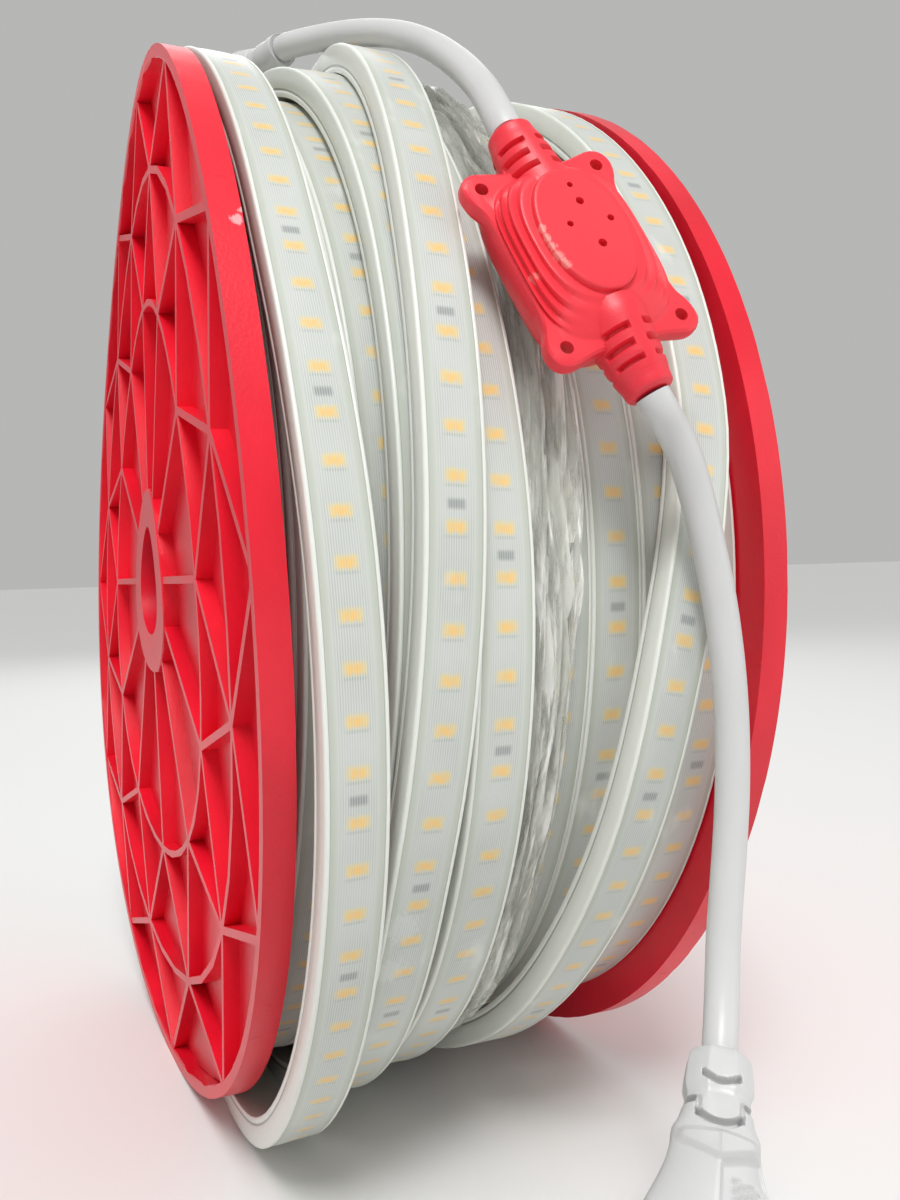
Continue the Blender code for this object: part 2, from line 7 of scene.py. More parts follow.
import logging
from dataclasses import dataclass
from enum import Enum
from math import cos, pi, radians, sin, tau

import bmesh
import bpy
from mathutils import Matrix, Vector, noise


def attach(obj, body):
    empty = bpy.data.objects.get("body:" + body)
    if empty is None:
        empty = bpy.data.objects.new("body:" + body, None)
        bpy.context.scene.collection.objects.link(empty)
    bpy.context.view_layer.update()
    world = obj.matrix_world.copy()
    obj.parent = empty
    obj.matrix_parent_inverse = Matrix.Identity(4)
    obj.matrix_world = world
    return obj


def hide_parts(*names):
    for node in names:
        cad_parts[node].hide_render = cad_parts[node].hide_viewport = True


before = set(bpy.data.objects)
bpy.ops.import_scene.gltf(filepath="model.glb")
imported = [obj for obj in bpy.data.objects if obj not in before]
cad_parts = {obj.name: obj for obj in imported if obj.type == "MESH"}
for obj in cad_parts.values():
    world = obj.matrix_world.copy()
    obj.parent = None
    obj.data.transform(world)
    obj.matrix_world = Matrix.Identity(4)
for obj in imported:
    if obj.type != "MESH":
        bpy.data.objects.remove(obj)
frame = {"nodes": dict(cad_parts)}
LOG = logging.getLogger("rope_light")

Table = tuple[tuple[float, ...], ...]
Ring = list[Vector]
VALUE = "NodeSocketFloat"  # The kind of every group socket here.

# Outer turns of the strip as (angle in degrees, lane, rise of the outer face in strip thicknesses).
LOOSE_TURNS: Table = (
    (-187, 6.20, 1.08), (-150, 6.35, 1.08), (-90, 6.90, 1.10), (0, 7.25, 1.20), (50, 7.28, 1.22),
    (76, 7.10, 1.25), (88, 6.60, 1.50), (97, 6.05, 1.95), (110, 5.60, 2.15), (130, 5.25, 1.80),
    (155, 5.10, 1.32),
    (180, 5.08, 1.15), (210, 5.00, 1.10), (270, 4.20, 1.10), (330, 3.50, 1.12), (360, 3.35, 1.14),
    (420, 3.02, 1.20), (435, 2.95, 1.40), (450, 2.87, 1.80), (465, 2.80, 2.05), (480, 2.82, 1.90),
    (510, 2.95, 1.40), (540, 3.00, 1.20), (570, 3.05, 1.12), (600, 3.25, 2.30), (630, 3.40, 2.30),
    (720, 3.75, 2.22), (750, 3.05, 2.24), (780, 2.32, 2.45), (795, 2.08, 2.52), (810, 1.88, 2.52),
    (825, 1.68, 2.46), (835, 1.58, 2.40), (860, 1.62, 2.10), (885, 1.72, 1.55), (900, 1.78, 1.30),
    (930, 1.76, 1.12), (970, 1.40, 1.10), (1020, 0.80, 1.14), (1080, 0.36, 1.58), (1110, 0.24, 1.24),
    (1140, 0.18, 1.10), (1155, 0.24, 1.45), (1170, 0.33, 2.10), (1185, 0.40, 2.66), (1197, 0.44, 3.02),
    (1215, 0.48, 3.30), (1230, 0.50, 3.10), (1245, 0.52, 2.00), (1260, 0.54, 1.25), (1275, 0.56, 1.60),
    (1290, 0.66, 2.36), (1320, 1.40, 2.38), (1345, 2.14, 2.38), (1370, 1.85, 2.42), (1395, 1.20, 2.58),
    (1412, 0.94, 2.62), (1426, 0.98, 2.62), (1434, 1.24, 2.62), (1441.5, 1.72, 2.62),
)
UNDER_TURN: Table = (
    (-95, 2.25, 1.10), (-80, 2.24, 1.10), (-40, 2.20, 1.12), (0, 2.14, 1.16), (30, 2.10, 1.18),
    (60, 2.00, 1.24), (90, 1.76, 1.34), (110, 1.62, 1.30), (124, 1.62, 1.22),
)
WRAP_TURN: Table = (
    (-62, 5.20, 0.90), (-20, 4.85, 1.00), (0, 4.50, 1.10), (30, 4.30, 1.50), (60, 4.15, 1.88),
    (75, 4.10, 1.86), (90, 4.00, 1.55), (115, 3.95, 1.35), (150, 4.00, 1.00), (180, 3.98, 0.90),
    (196, 3.98, 0.80),
)

# Routes of the two leads between their ends, from the middle of the near flange's outer face.
UPPER_LEAD: Table = (
    (0.0425, -0.0375, 0.1293), (0.0468, -0.0475, 0.1261), (0.0503, -0.0625, 0.1193),
    (0.0517, -0.0790, 0.1091), (0.0513, -0.0945, 0.0975), (0.0497, -0.1065, 0.0875),
)
LOWER_LEAD: Table = (
    (0.0676, -0.1352, 0.0236), (0.0705, -0.1345, 0.0201), (0.0735, -0.1334, 0.0144),
    (0.0761, -0.1326, 0.0071), (0.0790, -0.1330, -0.0064), (0.0802, -0.1338, -0.0222),
    (0.0799, -0.1342, -0.0379),
    (0.0786, -0.1343, -0.0510), (0.0770, -0.1345, -0.0626), (0.0762, -0.1350, -0.0680),
    (0.0749, -0.1363, -0.0732), (0.0729, -0.1384, -0.0779),
)


@dataclass(frozen=True)
class ReelPlan:
    """Sizes of the reel and of the strip on it, and places given in them."""

    flange_radius: float = 0.125
    flange_width: float = 0.0055
    flange_sides: int = 72
    warp: float = 0.0028
    gap: float = 0.090
    core_radius: float = 0.045
    winding_radius: float = 0.1175
    strip_width: float = 0.0108
    strip_thickness: float = 0.0062
    lanes: int = 8
    clearance: float = 0.0003
    axis_y: float = 0.0004

    @property
    def axis_z(self) -> float:
        """Height of the axis above the floor."""
        return self.flange_radius * cos(pi / self.flange_sides)

    @property
    def near_x(self) -> float:
        """Place of the near flange's outer face."""
        return -(self.flange_width + self.gap / 2) + self.warp / 2

    @property
    def winding_start(self) -> float:
        """Near end of the winding, from the near flange's outer face."""
        return self.flange_width + self.warp + self.clearance

    @property
    def winding_end(self) -> float:
        """Far end of the winding, from the near flange's outer face."""
        return self.flange_width + self.gap - self.clearance

    def lane_x(self, lane: float) -> float:
        """Distance from the near flange's outer face of a place counted in lanes."""
        return self.winding_start + lane * (self.winding_end - self.winding_start) / self.lanes

    def point(self, x: float, y: float, z: float) -> Vector:
        """A point given from the middle of the near flange's outer face."""
        return Vector((self.near_x + x, self.axis_y + y, self.axis_z + z))

    def around(self, x: float, radius: float, angle: float) -> Vector:
        """A point at an angle round the axis, from the top over the front."""
        return self.point(x, -radius * sin(angle), radius * cos(angle))


PLAN = ReelPlan()


def between(table: Table, angle: float) -> list[float]:
    """Reads a table of (angle, value, value) smoothly.

    Args:
        table: Rows in order of angle.
        angle: The angle to read at, in degrees.

    Returns:
        The two values at that angle.
    """
    index = 0
    while index < len(table) - 2 and table[index + 1][0] < angle:
        index += 1
    low, high = table[index], table[index + 1]
    before, after = table[max(index - 1, 0)], table[min(index + 2, len(table) - 1)]
    span = high[0] - low[0]
    t = (angle - low[0]) / span
    values = []
    for column in (1, 2):
        low_slope = (high[column] - before[column]) / (high[0] - before[0]) * span
        high_slope = (after[column] - low[column]) / (after[0] - low[0]) * span
        values.append(
            (2 * t**3 - 3 * t**2 + 1) * low[column]
            + (t**3 - 2 * t**2 + t) * low_slope
            + (3 * t**2 - 2 * t**3) * high[column]
            + (t**3 - t**2) * high_slope
        )
    return values


def smooth_rows(rows: Table, count: int) -> list[list[float]]:
    """Fills rows of numbers in with smooth rows between them.

    Args:
        rows: Key rows of equal length.
        count: Rows to make for each gap between key rows.

    Returns:
        The filled list, with the key rows in it.
    """
    filled = []
    for i in range(len(rows) - 1):
        a, b, c, d = rows[max(i - 1, 0)], rows[i], rows[i + 1], rows[min(i + 2, len(rows) - 1)]
        for k in range(count):
            t = k / count
            filled.append([
                0.5 * (2 * q + (r - p) * t + (2 * p - 5 * q + 4 * r - s) * t * t
                       + (3 * q - p - 3 * r + s) * t**3)
                for p, q, r, s in zip(a, b, c, d)
            ])
    filled.append(list(rows[-1]))
    return filled


def rounded(half_width: float, half_height: float, power: float, count: int) -> list[tuple[float, float]]:
    """An outline between an ellipse, at power 2, and a rectangle.

    Args:
        half_width: Half of its first size.
        half_height: Half of its second size.
        power: How square it is.
        count: Points round it.

    Returns:
        The points, anticlockwise from the first axis.
    """
    outline = []
    for k in range(count):
        c, s = cos(tau * (k + 0.5) / count), sin(tau * (k + 0.5) / count)
        scale = (abs(c) ** power + abs(s) ** power) ** (-1 / power)
        outline.append((half_width * c * scale, half_height * s * scale))
    return outline


def heading(points: list[Vector], index: int) -> Vector:
    """The direction of a run of points at one of them."""
    return (points[min(index + 1, len(points) - 1)] - points[max(index - 1, 0)]).normalized()


def squared(side: Vector, run: Vector) -> Vector:
    """The direction nearest to side that is square to run."""
    return (side - run * side.dot(run)).normalized()


def window(value: float, middle: float, half: float, soft: float) -> float:
    """One inside a stretch and nothing outside it.

    Args:
        value: Where to read.
        middle: Middle of the stretch.
        half: Half of its length.
        soft: Length over which each end fades.

    Returns:
        A number from 0 to 1.
    """
    t = clamp((half + soft / 2 - abs(value - middle)) / soft)
    return t * t * (3 - 2 * t)


def clamp(value: float) -> float:
    """A value kept between 0 and 1."""
    return min(1.0, max(0.0, value))


def add_object(name: str, data: bpy.types.ID) -> bpy.types.Object:
    """Makes an object of a mesh, lamp or camera, links it to the scene and returns it."""
    made = bpy.data.objects.new(name, data)
    bpy.context.scene.collection.objects.link(made)
    return made


class Skin:
    """Collects skinned rings into one mesh, with a UV map that holds lengths in metres."""

    def __init__(self) -> None:
        """Starts with nothing in it."""
        self.vertices: list[Vector] = []
        self.faces: list[tuple[int, ...]] = []
        self.lengths: list[tuple[float, float]] = []

    def tube(
        self, rings: list[Ring], along: list[float], across: list[float], closed: bool = False
    ) -> "Skin":
        """Skins closed rings one after another.

        Args:
            rings: The rings, each with equally many points.
            along: The length at each ring, and one more where the run is closed.
            across: The section's own length at each point, and one more for the seam.
            closed: Joins the last ring to the first, and otherwise caps both ends.

        Returns:
            This skin.
        """
        base, count = len(self.vertices), len(rings[0])
        for ring in rings:
            self.vertices.extend(ring)
        for i in range(len(rings) if closed else len(rings) - 1):
            a, b = base + i * count, base + (i + 1) % len(rings) * count
            for k in range(count):
                n = (k + 1) % count
                self.faces.append((a + k, a + n, b + n, b + k))
                low, high = (along[i], across[k]), (along[i + 1], across[k + 1])
                self.lengths.extend((low, (low[0], high[1]), high, (high[0], low[1])))
        if not closed:
            last = base + (len(rings) - 1) * count
            for start, order in ((base, range(count - 1, -1, -1)), (last, range(count))):
                self.faces.append(tuple(start + k for k in order))
                self.lengths.extend([(along[0], 1.0)] * count)
        return self

    def plain(self, rings: list[Ring], closed: bool = False) -> "Skin":
        """Skins closed rings whose lengths no finish reads."""
        return self.tube(rings, [0.0] * (len(rings) + 1), [0.0] * (len(rings[0]) + 1), closed)

    def build(self, name: str, material: bpy.types.Material, sharp: float = 40.0) -> bpy.types.Object:
        """Makes the object, its faces turned outwards.

        Args:
            name: The piece's name.
            material: Its finish.
            sharp: The angle in degrees above which an edge stays crisp.

        Returns:
            The object, linked to the scene.
        """
        mesh = bpy.data.meshes.new(name)
        mesh.from_pydata([tuple(v) for v in self.vertices], [], self.faces)
        layer = mesh.uv_layers.new(name="length")
        for place, pair in zip(layer.uv, self.lengths):
            place.vector = pair
        edit = bmesh.new()
        edit.from_mesh(mesh)
        bmesh.ops.recalc_face_normals(edit, faces=edit.faces)
        edit.to_mesh(mesh)
        edit.free()
        mesh.shade_smooth()
        mesh.set_sharp_from_angle(angle=radians(sharp))
        mesh.materials.append(material)
        return add_object(name, mesh)


def apply_modifiers(piece: bpy.types.Object) -> bpy.types.Object:
    """Replaces a piece's mesh with what its modifiers make of it, and returns the piece."""
    graph = bpy.context.evaluated_depsgraph_get()
    mesh = bpy.data.meshes.new_from_object(piece.evaluated_get(graph), depsgraph=graph)
    piece.modifiers.clear()
    piece.data = mesh
    return piece


def combine(piece: bpy.types.Object, others: list[bpy.types.Object], operation: str) -> bpy.types.Object:
    """Joins other closed pieces to a piece, or cuts them from it, and removes them.

    Args:
        piece: The piece that stays.
        others: The pieces to use up.
        operation: UNION or DIFFERENCE.

    Returns:
        The piece.
    """
    for other in others:
        modifier = piece.modifiers.new(other.name, "BOOLEAN")
        modifier.operation = operation
        modifier.object = other
    apply_modifiers(piece)
    for other in others:
        bpy.data.objects.remove(other, do_unlink=True)
    return piece


def finished(piece: bpy.types.Object, node: str) -> bpy.types.Object:
    """Puts a piece in the place of a CAD node.

    Args:
        piece: The dressed piece.
        node: The CAD node that it stands for.

    Returns:
        The piece.
    """
    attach(piece, "root")
    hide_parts(node)
    LOG.info("%s stands for %s", piece.name, node)
    return piece


class Sheet:
    """Short ways to lay shader nodes in one tree."""

    def __init__(self, tree: bpy.types.NodeTree) -> None:
        """Takes the tree to work in."""
        self.tree = tree

    def feed(self, socket: bpy.types.NodeSocket, value: object) -> None:
        """Links a socket to another, or sets it to a plain value."""
        if isinstance(value, bpy.types.NodeSocket):
            self.tree.links.new(value, socket)
        elif isinstance(value, tuple) and len(value) == 3 and socket.type == "RGBA":
            socket.default_value = (*value, 1.0)
        else:
            socket.default_value = value

    def math(
        self, operation: str, first: object, second: object = 0.0, third: object = 0.0
    ) -> bpy.types.NodeSocket:
        """A Math node's value from up to three inputs."""
        node = self.tree.nodes.new("ShaderNodeMath")
        node.operation = operation
        for socket, value in zip(node.inputs, (first, second, third)):
            self.feed(socket, value)
        return node.outputs[0]

    def times(self, first: object, second: object) -> bpy.types.NodeSocket:
        """The product of two values."""
        return self.math("MULTIPLY", first, second)

    def linear(self, value: object, factor: object, offset: object) -> bpy.types.NodeSocket:
        """A value times a factor, plus an offset."""
        return self.math("MULTIPLY_ADD", value, factor, offset)

    def apart(self, value: object, place: float) -> bpy.types.NodeSocket:
        """How far a value is from a place, never less than nothing."""
        return self.math("ABSOLUTE", self.math("SUBTRACT", value, place))

    def fade(self, value: object, low: float, high: float) -> bpy.types.NodeSocket:
        """A smooth step from 0 at low to 1 at high, or falling where high is less than low."""
        node = self.tree.nodes.new("ShaderNodeMapRange")
        node.interpolation_type = "SMOOTHSTEP"
        falling = high < low
        settings = {
            "Value": value, "From Min": min(low, high), "From Max": max(low, high),
            "To Min": float(falling), "To Max": float(not falling),
        }
        for name, setting in settings.items():
            self.feed(node.inputs[name], setting)
        return node.outputs["Result"]

    def mix(self, factor: object, first: object, second: object) -> bpy.types.NodeSocket:
        """A colour between two colours."""
        node = self.tree.nodes.new("ShaderNodeMix")
        node.data_type = "RGBA"
        self.feed(node.inputs[0], factor)
        self.feed(node.inputs[6], first)
        self.feed(node.inputs[7], second)
        return node.outputs[2]

    def cover(self, colour: object, mask: object, amount: float, top: object) -> bpy.types.NodeSocket:
        """A colour with another laid over it where a mask says so, up to an amount."""
        return self.mix(self.times(mask, amount), colour, top)

    def place(self, stretch: tuple[float, float, float] = (1.0, 1.0, 1.0)) -> bpy.types.NodeSocket:
        """The object's own coordinates in metres, stretched."""
        source = self.tree.nodes.new("ShaderNodeTexCoord")
        node = self.tree.nodes.new("ShaderNodeVectorMath")
        node.operation = "MULTIPLY"
        self.feed(node.inputs[0], source.outputs["Object"])
        node.inputs[1].default_value = stretch
        return node.outputs[0]

    def noise(
        self, vector: object, scale: object, detail: float = 3.0, rough: float = 0.55
    ) -> bpy.types.NodeSocket:
        """A noise value from 0 to 1."""
        node = self.tree.nodes.new("ShaderNodeTexNoise")
        self.feed(node.inputs["Vector"], vector)
        for name, number in (("Scale", scale), ("Detail", detail), ("Roughness", rough)):
            self.feed(node.inputs[name], number)
        return node.outputs["Fac"]

    def bump(self, height: object, distance: float) -> bpy.types.NodeSocket:
        """A normal from a height, whose full range is a distance in metres."""
        node = self.tree.nodes.new("ShaderNodeBump")
        node.inputs["Strength"].default_value = 1.0
        node.inputs["Distance"].default_value = distance
        self.feed(node.inputs["Height"], height)
        return node.outputs["Normal"]

    def use(self, group: bpy.types.NodeTree, **inputs: object) -> bpy.types.Node:
        """Places a node group, its inputs given by name with _ for a space."""
        node = self.tree.nodes.new("ShaderNodeGroup")
        node.node_tree = group
        for name, value in inputs.items():
            self.feed(node.inputs[name.replace("_", " ")], value)
        return node


def new_group(name: str, inputs: dict[str, float], outputs: dict[str, str]) -> tuple[Sheet, dict, dict]:
    """Starts a shader node group.

    Args:
        name: The group's name.
        inputs: Its number inputs, with their first values.
        outputs: Its outputs, each with a socket type.

    Returns:
        The sheet to work on, the input sockets and the output sockets, both by name.
    """
    tree = bpy.data.node_groups.new(name, "ShaderNodeTree")
    for label, value in inputs.items():
        socket = tree.interface.new_socket(label, in_out="INPUT", socket_type=VALUE)
        socket.default_value = value
    for label, kind in outputs.items():
        tree.interface.new_socket(label, in_out="OUTPUT", socket_type=kind)
    entry, leave = tree.nodes.new("NodeGroupInput"), tree.nodes.new("NodeGroupOutput")
    return Sheet(tree), {s.name: s for s in entry.outputs}, {s.name: s for s in leave.inputs}


def moulded_skin_group() -> bpy.types.NodeTree:
    """Fine grain, slow mottling and scuffs of a moulded plastic surface."""
    sheet, given, out = new_group(
        "moulded_skin",
        {"Grain Scale": 2600.0, "Mottle Scale": 28.0, "Scuff Scale": 60.0, "Scuff Amount": 0.3},
        {"Mottle": VALUE, "Scuff": VALUE, "Height": VALUE},
    )
    grain = sheet.noise(sheet.place(), given["Grain Scale"], 2.0)
    mottle = sheet.noise(sheet.place((1.0, 1.0, 0.6)), given["Mottle Scale"], 4.0)
    strokes = sheet.noise(sheet.place((1.0, 0.35, 1.6)), given["Scuff Scale"], 6.0, 0.7)
    low = sheet.math("SUBTRACT", 0.82, sheet.times(given["Scuff Amount"], 0.22))
    sheet.feed(out["Mottle"], mottle)
    sheet.feed(out["Scuff"], sheet.fade(sheet.math("SUBTRACT", strokes, low), 0.0, 0.06))
    sheet.feed(out["Height"], sheet.math("ADD", grain, sheet.times(mottle, 1.6)))
    return sheet.tree


def rub_mark_group() -> bpy.types.NodeTree:
    """A broken patch round a point, where a surface is rubbed pale."""
    sheet, given, out = new_group(
        "rub_mark",
        {"X": 0.0, "Y": 0.0, "Z": 0.0, "Reach": 0.002, "Grit Scale": 900.0},
        {"Mask": VALUE},
    )
    centre = sheet.tree.nodes.new("ShaderNodeCombineXYZ")
    for socket, name in zip(centre.inputs, "XYZ"):
        sheet.feed(socket, given[name])
    apart = sheet.tree.nodes.new("ShaderNodeVectorMath")
    apart.operation = "DISTANCE"
    sheet.feed(apart.inputs[0], sheet.place())
    sheet.feed(apart.inputs[1], centre.outputs[0])
    far = sheet.math("DIVIDE", apart.outputs["Value"], given["Reach"])
    grit = sheet.noise(sheet.place((1.0, 0.5, 0.5)), given["Grit Scale"], 5.0, 0.7)
    ragged = sheet.linear(sheet.math("SUBTRACT", grit, 0.5), 2.4, far)
    sheet.feed(out["Mask"], sheet.times(sheet.fade(ragged, 0.95, 0.55), sheet.fade(far, 1.5, 0.9)))
    return sheet.tree


@dataclass(frozen=True)
class StripFace:
    """What shows through the milky face: places along it in shares of the LED pitch, across it in metres.

    Each pair gives the two places between which an edge fades, from nothing to full.
    """

    pitch: float = 0.00833
    line_spacing: float = 0.00042
    chip_lower: tuple[float, float] = (0.200, 0.095)
    chip_upper: tuple[float, float] = (-0.210, -0.060)
    chip_side: tuple[float, float] = (0.00250, 0.00120)
    chip_fray: float = 0.060
    core_at: float = 0.01
    core_reach: tuple[float, float] = (0.15, 0.02)
    core_side: tuple[float, float] = (0.0020, 0.0004)
    shadow_at: float = 0.19
    shadow_reach: tuple[float, float] = (0.055, 0.01)
    resistor_run: float = 12.0
    resistors_at: tuple[float, float] = (3.05, 11.05)
    resistor_reach: tuple[float, float] = (0.15, 0.04)
    resistor_side: tuple[float, float] = (0.0019, 0.0011)
    lines_side: tuple[float, float] = (0.0033, 0.0027)
    band_side: tuple[float, float] = (0.0043, 0.0024)

    def group(self) -> bpy.types.NodeTree:
        """Builds the shared group of masks for LEDs, the painted shadows below them, resistors, fine lines
        and the pale middle band.
        """
        sheet, given, out = new_group(
            "strip_face",
            {"Along": 0.0, "Across": 0.0, "Pitch": self.pitch, "Line Spacing": self.line_spacing},
            {name: VALUE for name in ("Chip", "Core", "Shadow", "Resistor", "Lines", "Band")},
        )
        steps = sheet.math("DIVIDE", given["Along"], given["Pitch"])
        width = sheet.math("ABSOLUTE", given["Across"])
        turns = sheet.times(sheet.math("DIVIDE", given["Across"], given["Line Spacing"]), tau)
        comb = sheet.linear(sheet.math("COSINE", turns), 0.5, 0.5)
        cell = sheet.math("SUBTRACT", sheet.math("FRACT", steps), 0.5)
        drift = sheet.math("SUBTRACT", sheet.noise(sheet.place(), 900.0, 1.0), 0.5)
        lower = sheet.fade(sheet.linear(comb, self.chip_fray, cell), *self.chip_lower)
        upper = sheet.fade(sheet.linear(drift, 0.08, cell), *self.chip_upper)
        side = sheet.fade(width, *self.chip_side)
        chip = sheet.times(sheet.times(lower, upper), side)
        sheet.feed(out["Chip"], sheet.times(chip, sheet.linear(comb, -0.34, 1.0)))
        heart = sheet.fade(sheet.apart(cell, self.core_at), *self.core_reach)
        sheet.feed(out["Core"], sheet.times(heart, sheet.fade(width, *self.core_side)))
        # Painted shadow: a darker comb just below each chip.
        below = sheet.fade(sheet.apart(cell, self.shadow_at), *self.shadow_reach)
        sheet.feed(out["Shadow"], sheet.times(sheet.times(below, comb), side))
        count = sheet.math("MODULO", steps, self.resistor_run)
        first, second = (sheet.apart(count, place) for place in self.resistors_at)
        mark = sheet.fade(sheet.math("MINIMUM", first, second), *self.resistor_reach)
        mark = sheet.times(mark, sheet.linear(comb, 0.45, 0.55))
        sheet.feed(out["Resistor"], sheet.times(mark, sheet.fade(width, *self.resistor_side)))
        patches = sheet.fade(sheet.noise(sheet.place(), 60.0, 2.0), 0.25, 0.75)
        lines = sheet.times(comb, sheet.linear(patches, 0.6, 0.4))
        sheet.feed(out["Lines"], sheet.times(lines, sheet.fade(width, *self.lines_side)))
        sheet.feed(out["Band"], sheet.fade(width, *self.band_side))
        return sheet.tree


def new_material(name: str, roughness: float) -> tuple[Sheet, bpy.types.Material, dict]:
    """Starts a finish with one Principled shader.

    Args:
        name: The material's name.
        roughness: The shader's roughness where nothing is linked to it.

    Returns:
        The sheet, the material and the shader's inputs.
    """
    material = bpy.data.materials.new(name)
    material.use_nodes = True
    shader = material.node_tree.nodes["Principled BSDF"]
    shader.inputs["Roughness"].default_value = roughness
    return Sheet(material.node_tree), material, shader.inputs


@dataclass(frozen=True)
class MouldedFinish:
    """A moulded plastic: two shades of its colour, a paler scuff colour and its grain."""

    name: str
    deep: tuple[float, float, float]
    bright: tuple[float, float, float]
    scuff: tuple[float, float, float]
    roughness: tuple[float, float] = (0.34, 0.46)
    grain_scale: float = 2600.0
    scuff_amount: float = 0.3
    grain_depth: float = 0.00004
    scuff_strength: float = 0.55
    rub_strength: float = 0.8
    rubs: Table = ()

    def make(self, skin: bpy.types.NodeTree, rub: bpy.types.NodeTree) -> bpy.types.Material:
        """Builds the material.

        Args:
            skin: The shared moulded skin group.
            rub: The shared rub mark group, used once for each (x, y, z, reach) in rubs.

        Returns:
            The material.
        """
        sheet, material, shader = new_material(self.name, self.roughness[0])
        look = sheet.use(skin, Grain_Scale=self.grain_scale, Scuff_Amount=self.scuff_amount)
        colour = sheet.mix(sheet.fade(look.outputs["Mottle"], 0.25, 0.75), self.deep, self.bright)
        colour = sheet.cover(colour, look.outputs["Scuff"], self.scuff_strength, self.scuff)
        for x, y, z, reach in self.rubs:
            mask = sheet.use(rub, X=x, Y=y, Z=z, Reach=reach).outputs["Mask"]
            colour = sheet.cover(colour, mask, self.rub_strength, self.scuff)
        sheet.feed(shader["Base Color"], colour)
        low, high = self.roughness
        sheet.feed(shader["Roughness"], sheet.linear(look.outputs["Mottle"], high - low, low))
        sheet.feed(shader["Normal"], sheet.bump(look.outputs["Height"], self.grain_depth))
        return material


def length_map(sheet: Sheet) -> tuple[bpy.types.NodeSocket, bpy.types.NodeSocket]:
    """The lengths along and across a piece, in metres, from its UV map."""
    lengths = sheet.tree.nodes.new("ShaderNodeUVMap")
    lengths.uv_map = "length"
    parts = sheet.tree.nodes.new("ShaderNodeSeparateXYZ")
    sheet.feed(parts.inputs[0], lengths.outputs[0])
    return parts.outputs["X"], parts.outputs["Y"]


@dataclass(frozen=True)
class StripFinish:
    """The milky extrusion: its face over the circuit, and its opaque white walls."""

    margin: tuple[float, float, float] = (0.49, 0.52, 0.46)
    middle: tuple[float, float, float] = (0.63, 0.65, 0.63)
    # Grey of the fine lines, also used for the painted shadows below the chips.
    line_and_shadow_grey: tuple[float, float, float] = (0.30, 0.33, 0.31)
    wall: tuple[float, float, float] = (0.74, 0.76, 0.71)
    # Deep grey of the thin seam where face meets wall, and of the painted shade in the wall's groove.
    seam: tuple[float, float, float] = (0.22, 0.24, 0.21)
    chip_edge: tuple[float, float, float] = (0.76, 0.60, 0.24)
    chip_middle: tuple[float, float, float] = (0.86, 0.53, 0.13)
    resistor: tuple[float, float, float] = (0.13, 0.15, 0.16)
    smear: tuple[float, float, float] = (0.72, 0.74, 0.70)
    rubbed: tuple[float, float, float] = (0.80, 0.82, 0.82)
    wall_starts: float = 0.00458
    groove_at: float = 0.00985
    rub_lift: float = 0.0140
    rubs: Table = ((1.42, 117.0, 0.0040), (1.34, 121.5, 0.0036))

    def make(self, face: bpy.types.NodeTree, rub: bpy.types.NodeTree) -> bpy.types.Material:
        """Builds the material.

        Args:
            face: The shared strip face group.
            rub: The shared rub mark group, used once for each (lane, angle, reach) in rubs.

        Returns:
            The material.
        """
        sheet, material, shader = new_material("strip_milky", 0.3)
        along, across = length_map(sheet)
        look = sheet.use(face, Along=along, Across=across).outputs
        width = sheet.math("ABSOLUTE", across)
        cloud = sheet.noise(sheet.place(), 24.0, 4.0)
        band = sheet.times(look["Band"], sheet.linear(cloud, 0.7, 0.45))
        colour = sheet.mix(band, self.margin, self.middle)
        chip = sheet.mix(look["Core"], self.chip_edge, self.chip_middle)
        # The Shadow mask paints shade below each chip in the same grey as the fine lines.
        for mask, amount, top in (
            ("Lines", 0.55, self.line_and_shadow_grey), ("Chip", 0.90, chip),
            ("Shadow", 0.55, self.line_and_shadow_grey), ("Resistor", 0.62, self.resistor),
        ):
            colour = sheet.cover(colour, look[mask], amount, top)
        wall = sheet.fade(width, self.wall_starts - 0.00006, self.wall_starts + 0.00006)
        colour = sheet.mix(wall, colour, self.wall)
        # Darkens the thin seam where the face meets the wall a little, and paints shade into the wall's
        # groove more strongly.
        edge = sheet.fade(sheet.apart(width, self.wall_starts), 0.00016, 0.00004)
        groove = sheet.fade(sheet.apart(width, self.groove_at), 0.00042, 0.00012)
        seam_and_groove_shade = sheet.math("MAXIMUM", sheet.times(edge, 0.45), sheet.times(groove, 0.8))
        colour = sheet.mix(seam_and_groove_shade, colour, self.seam)
        smear = sheet.noise(sheet.place((1.0, 0.5, 0.5)), 120.0, 3.0, 0.55)
        colour = sheet.mix(sheet.fade(smear, 0.60, 0.85), colour, self.smear)
        for lane, angle, reach in self.rubs:
            x, y, z = PLAN.around(PLAN.lane_x(lane), PLAN.winding_radius + self.rub_lift, radians(angle))
            mask = sheet.use(rub, X=x, Y=y, Z=z, Reach=reach, Grit_Scale=1400.0).outputs["Mask"]
            colour = sheet.cover(colour, mask, 0.22, self.rubbed)
        sheet.feed(shader["Base Color"], colour)
        sheet.feed(shader["Roughness"], sheet.linear(cloud, 0.20, 0.22))
        sheet.feed(shader["Normal"], sheet.bump(look["Lines"], 0.00002))
        shader["Subsurface Weight"].default_value = 0.12
        shader["Subsurface Radius"].default_value = (0.004, 0.004, 0.0035)
        shader["Subsurface Scale"].default_value = 1.0
        return material


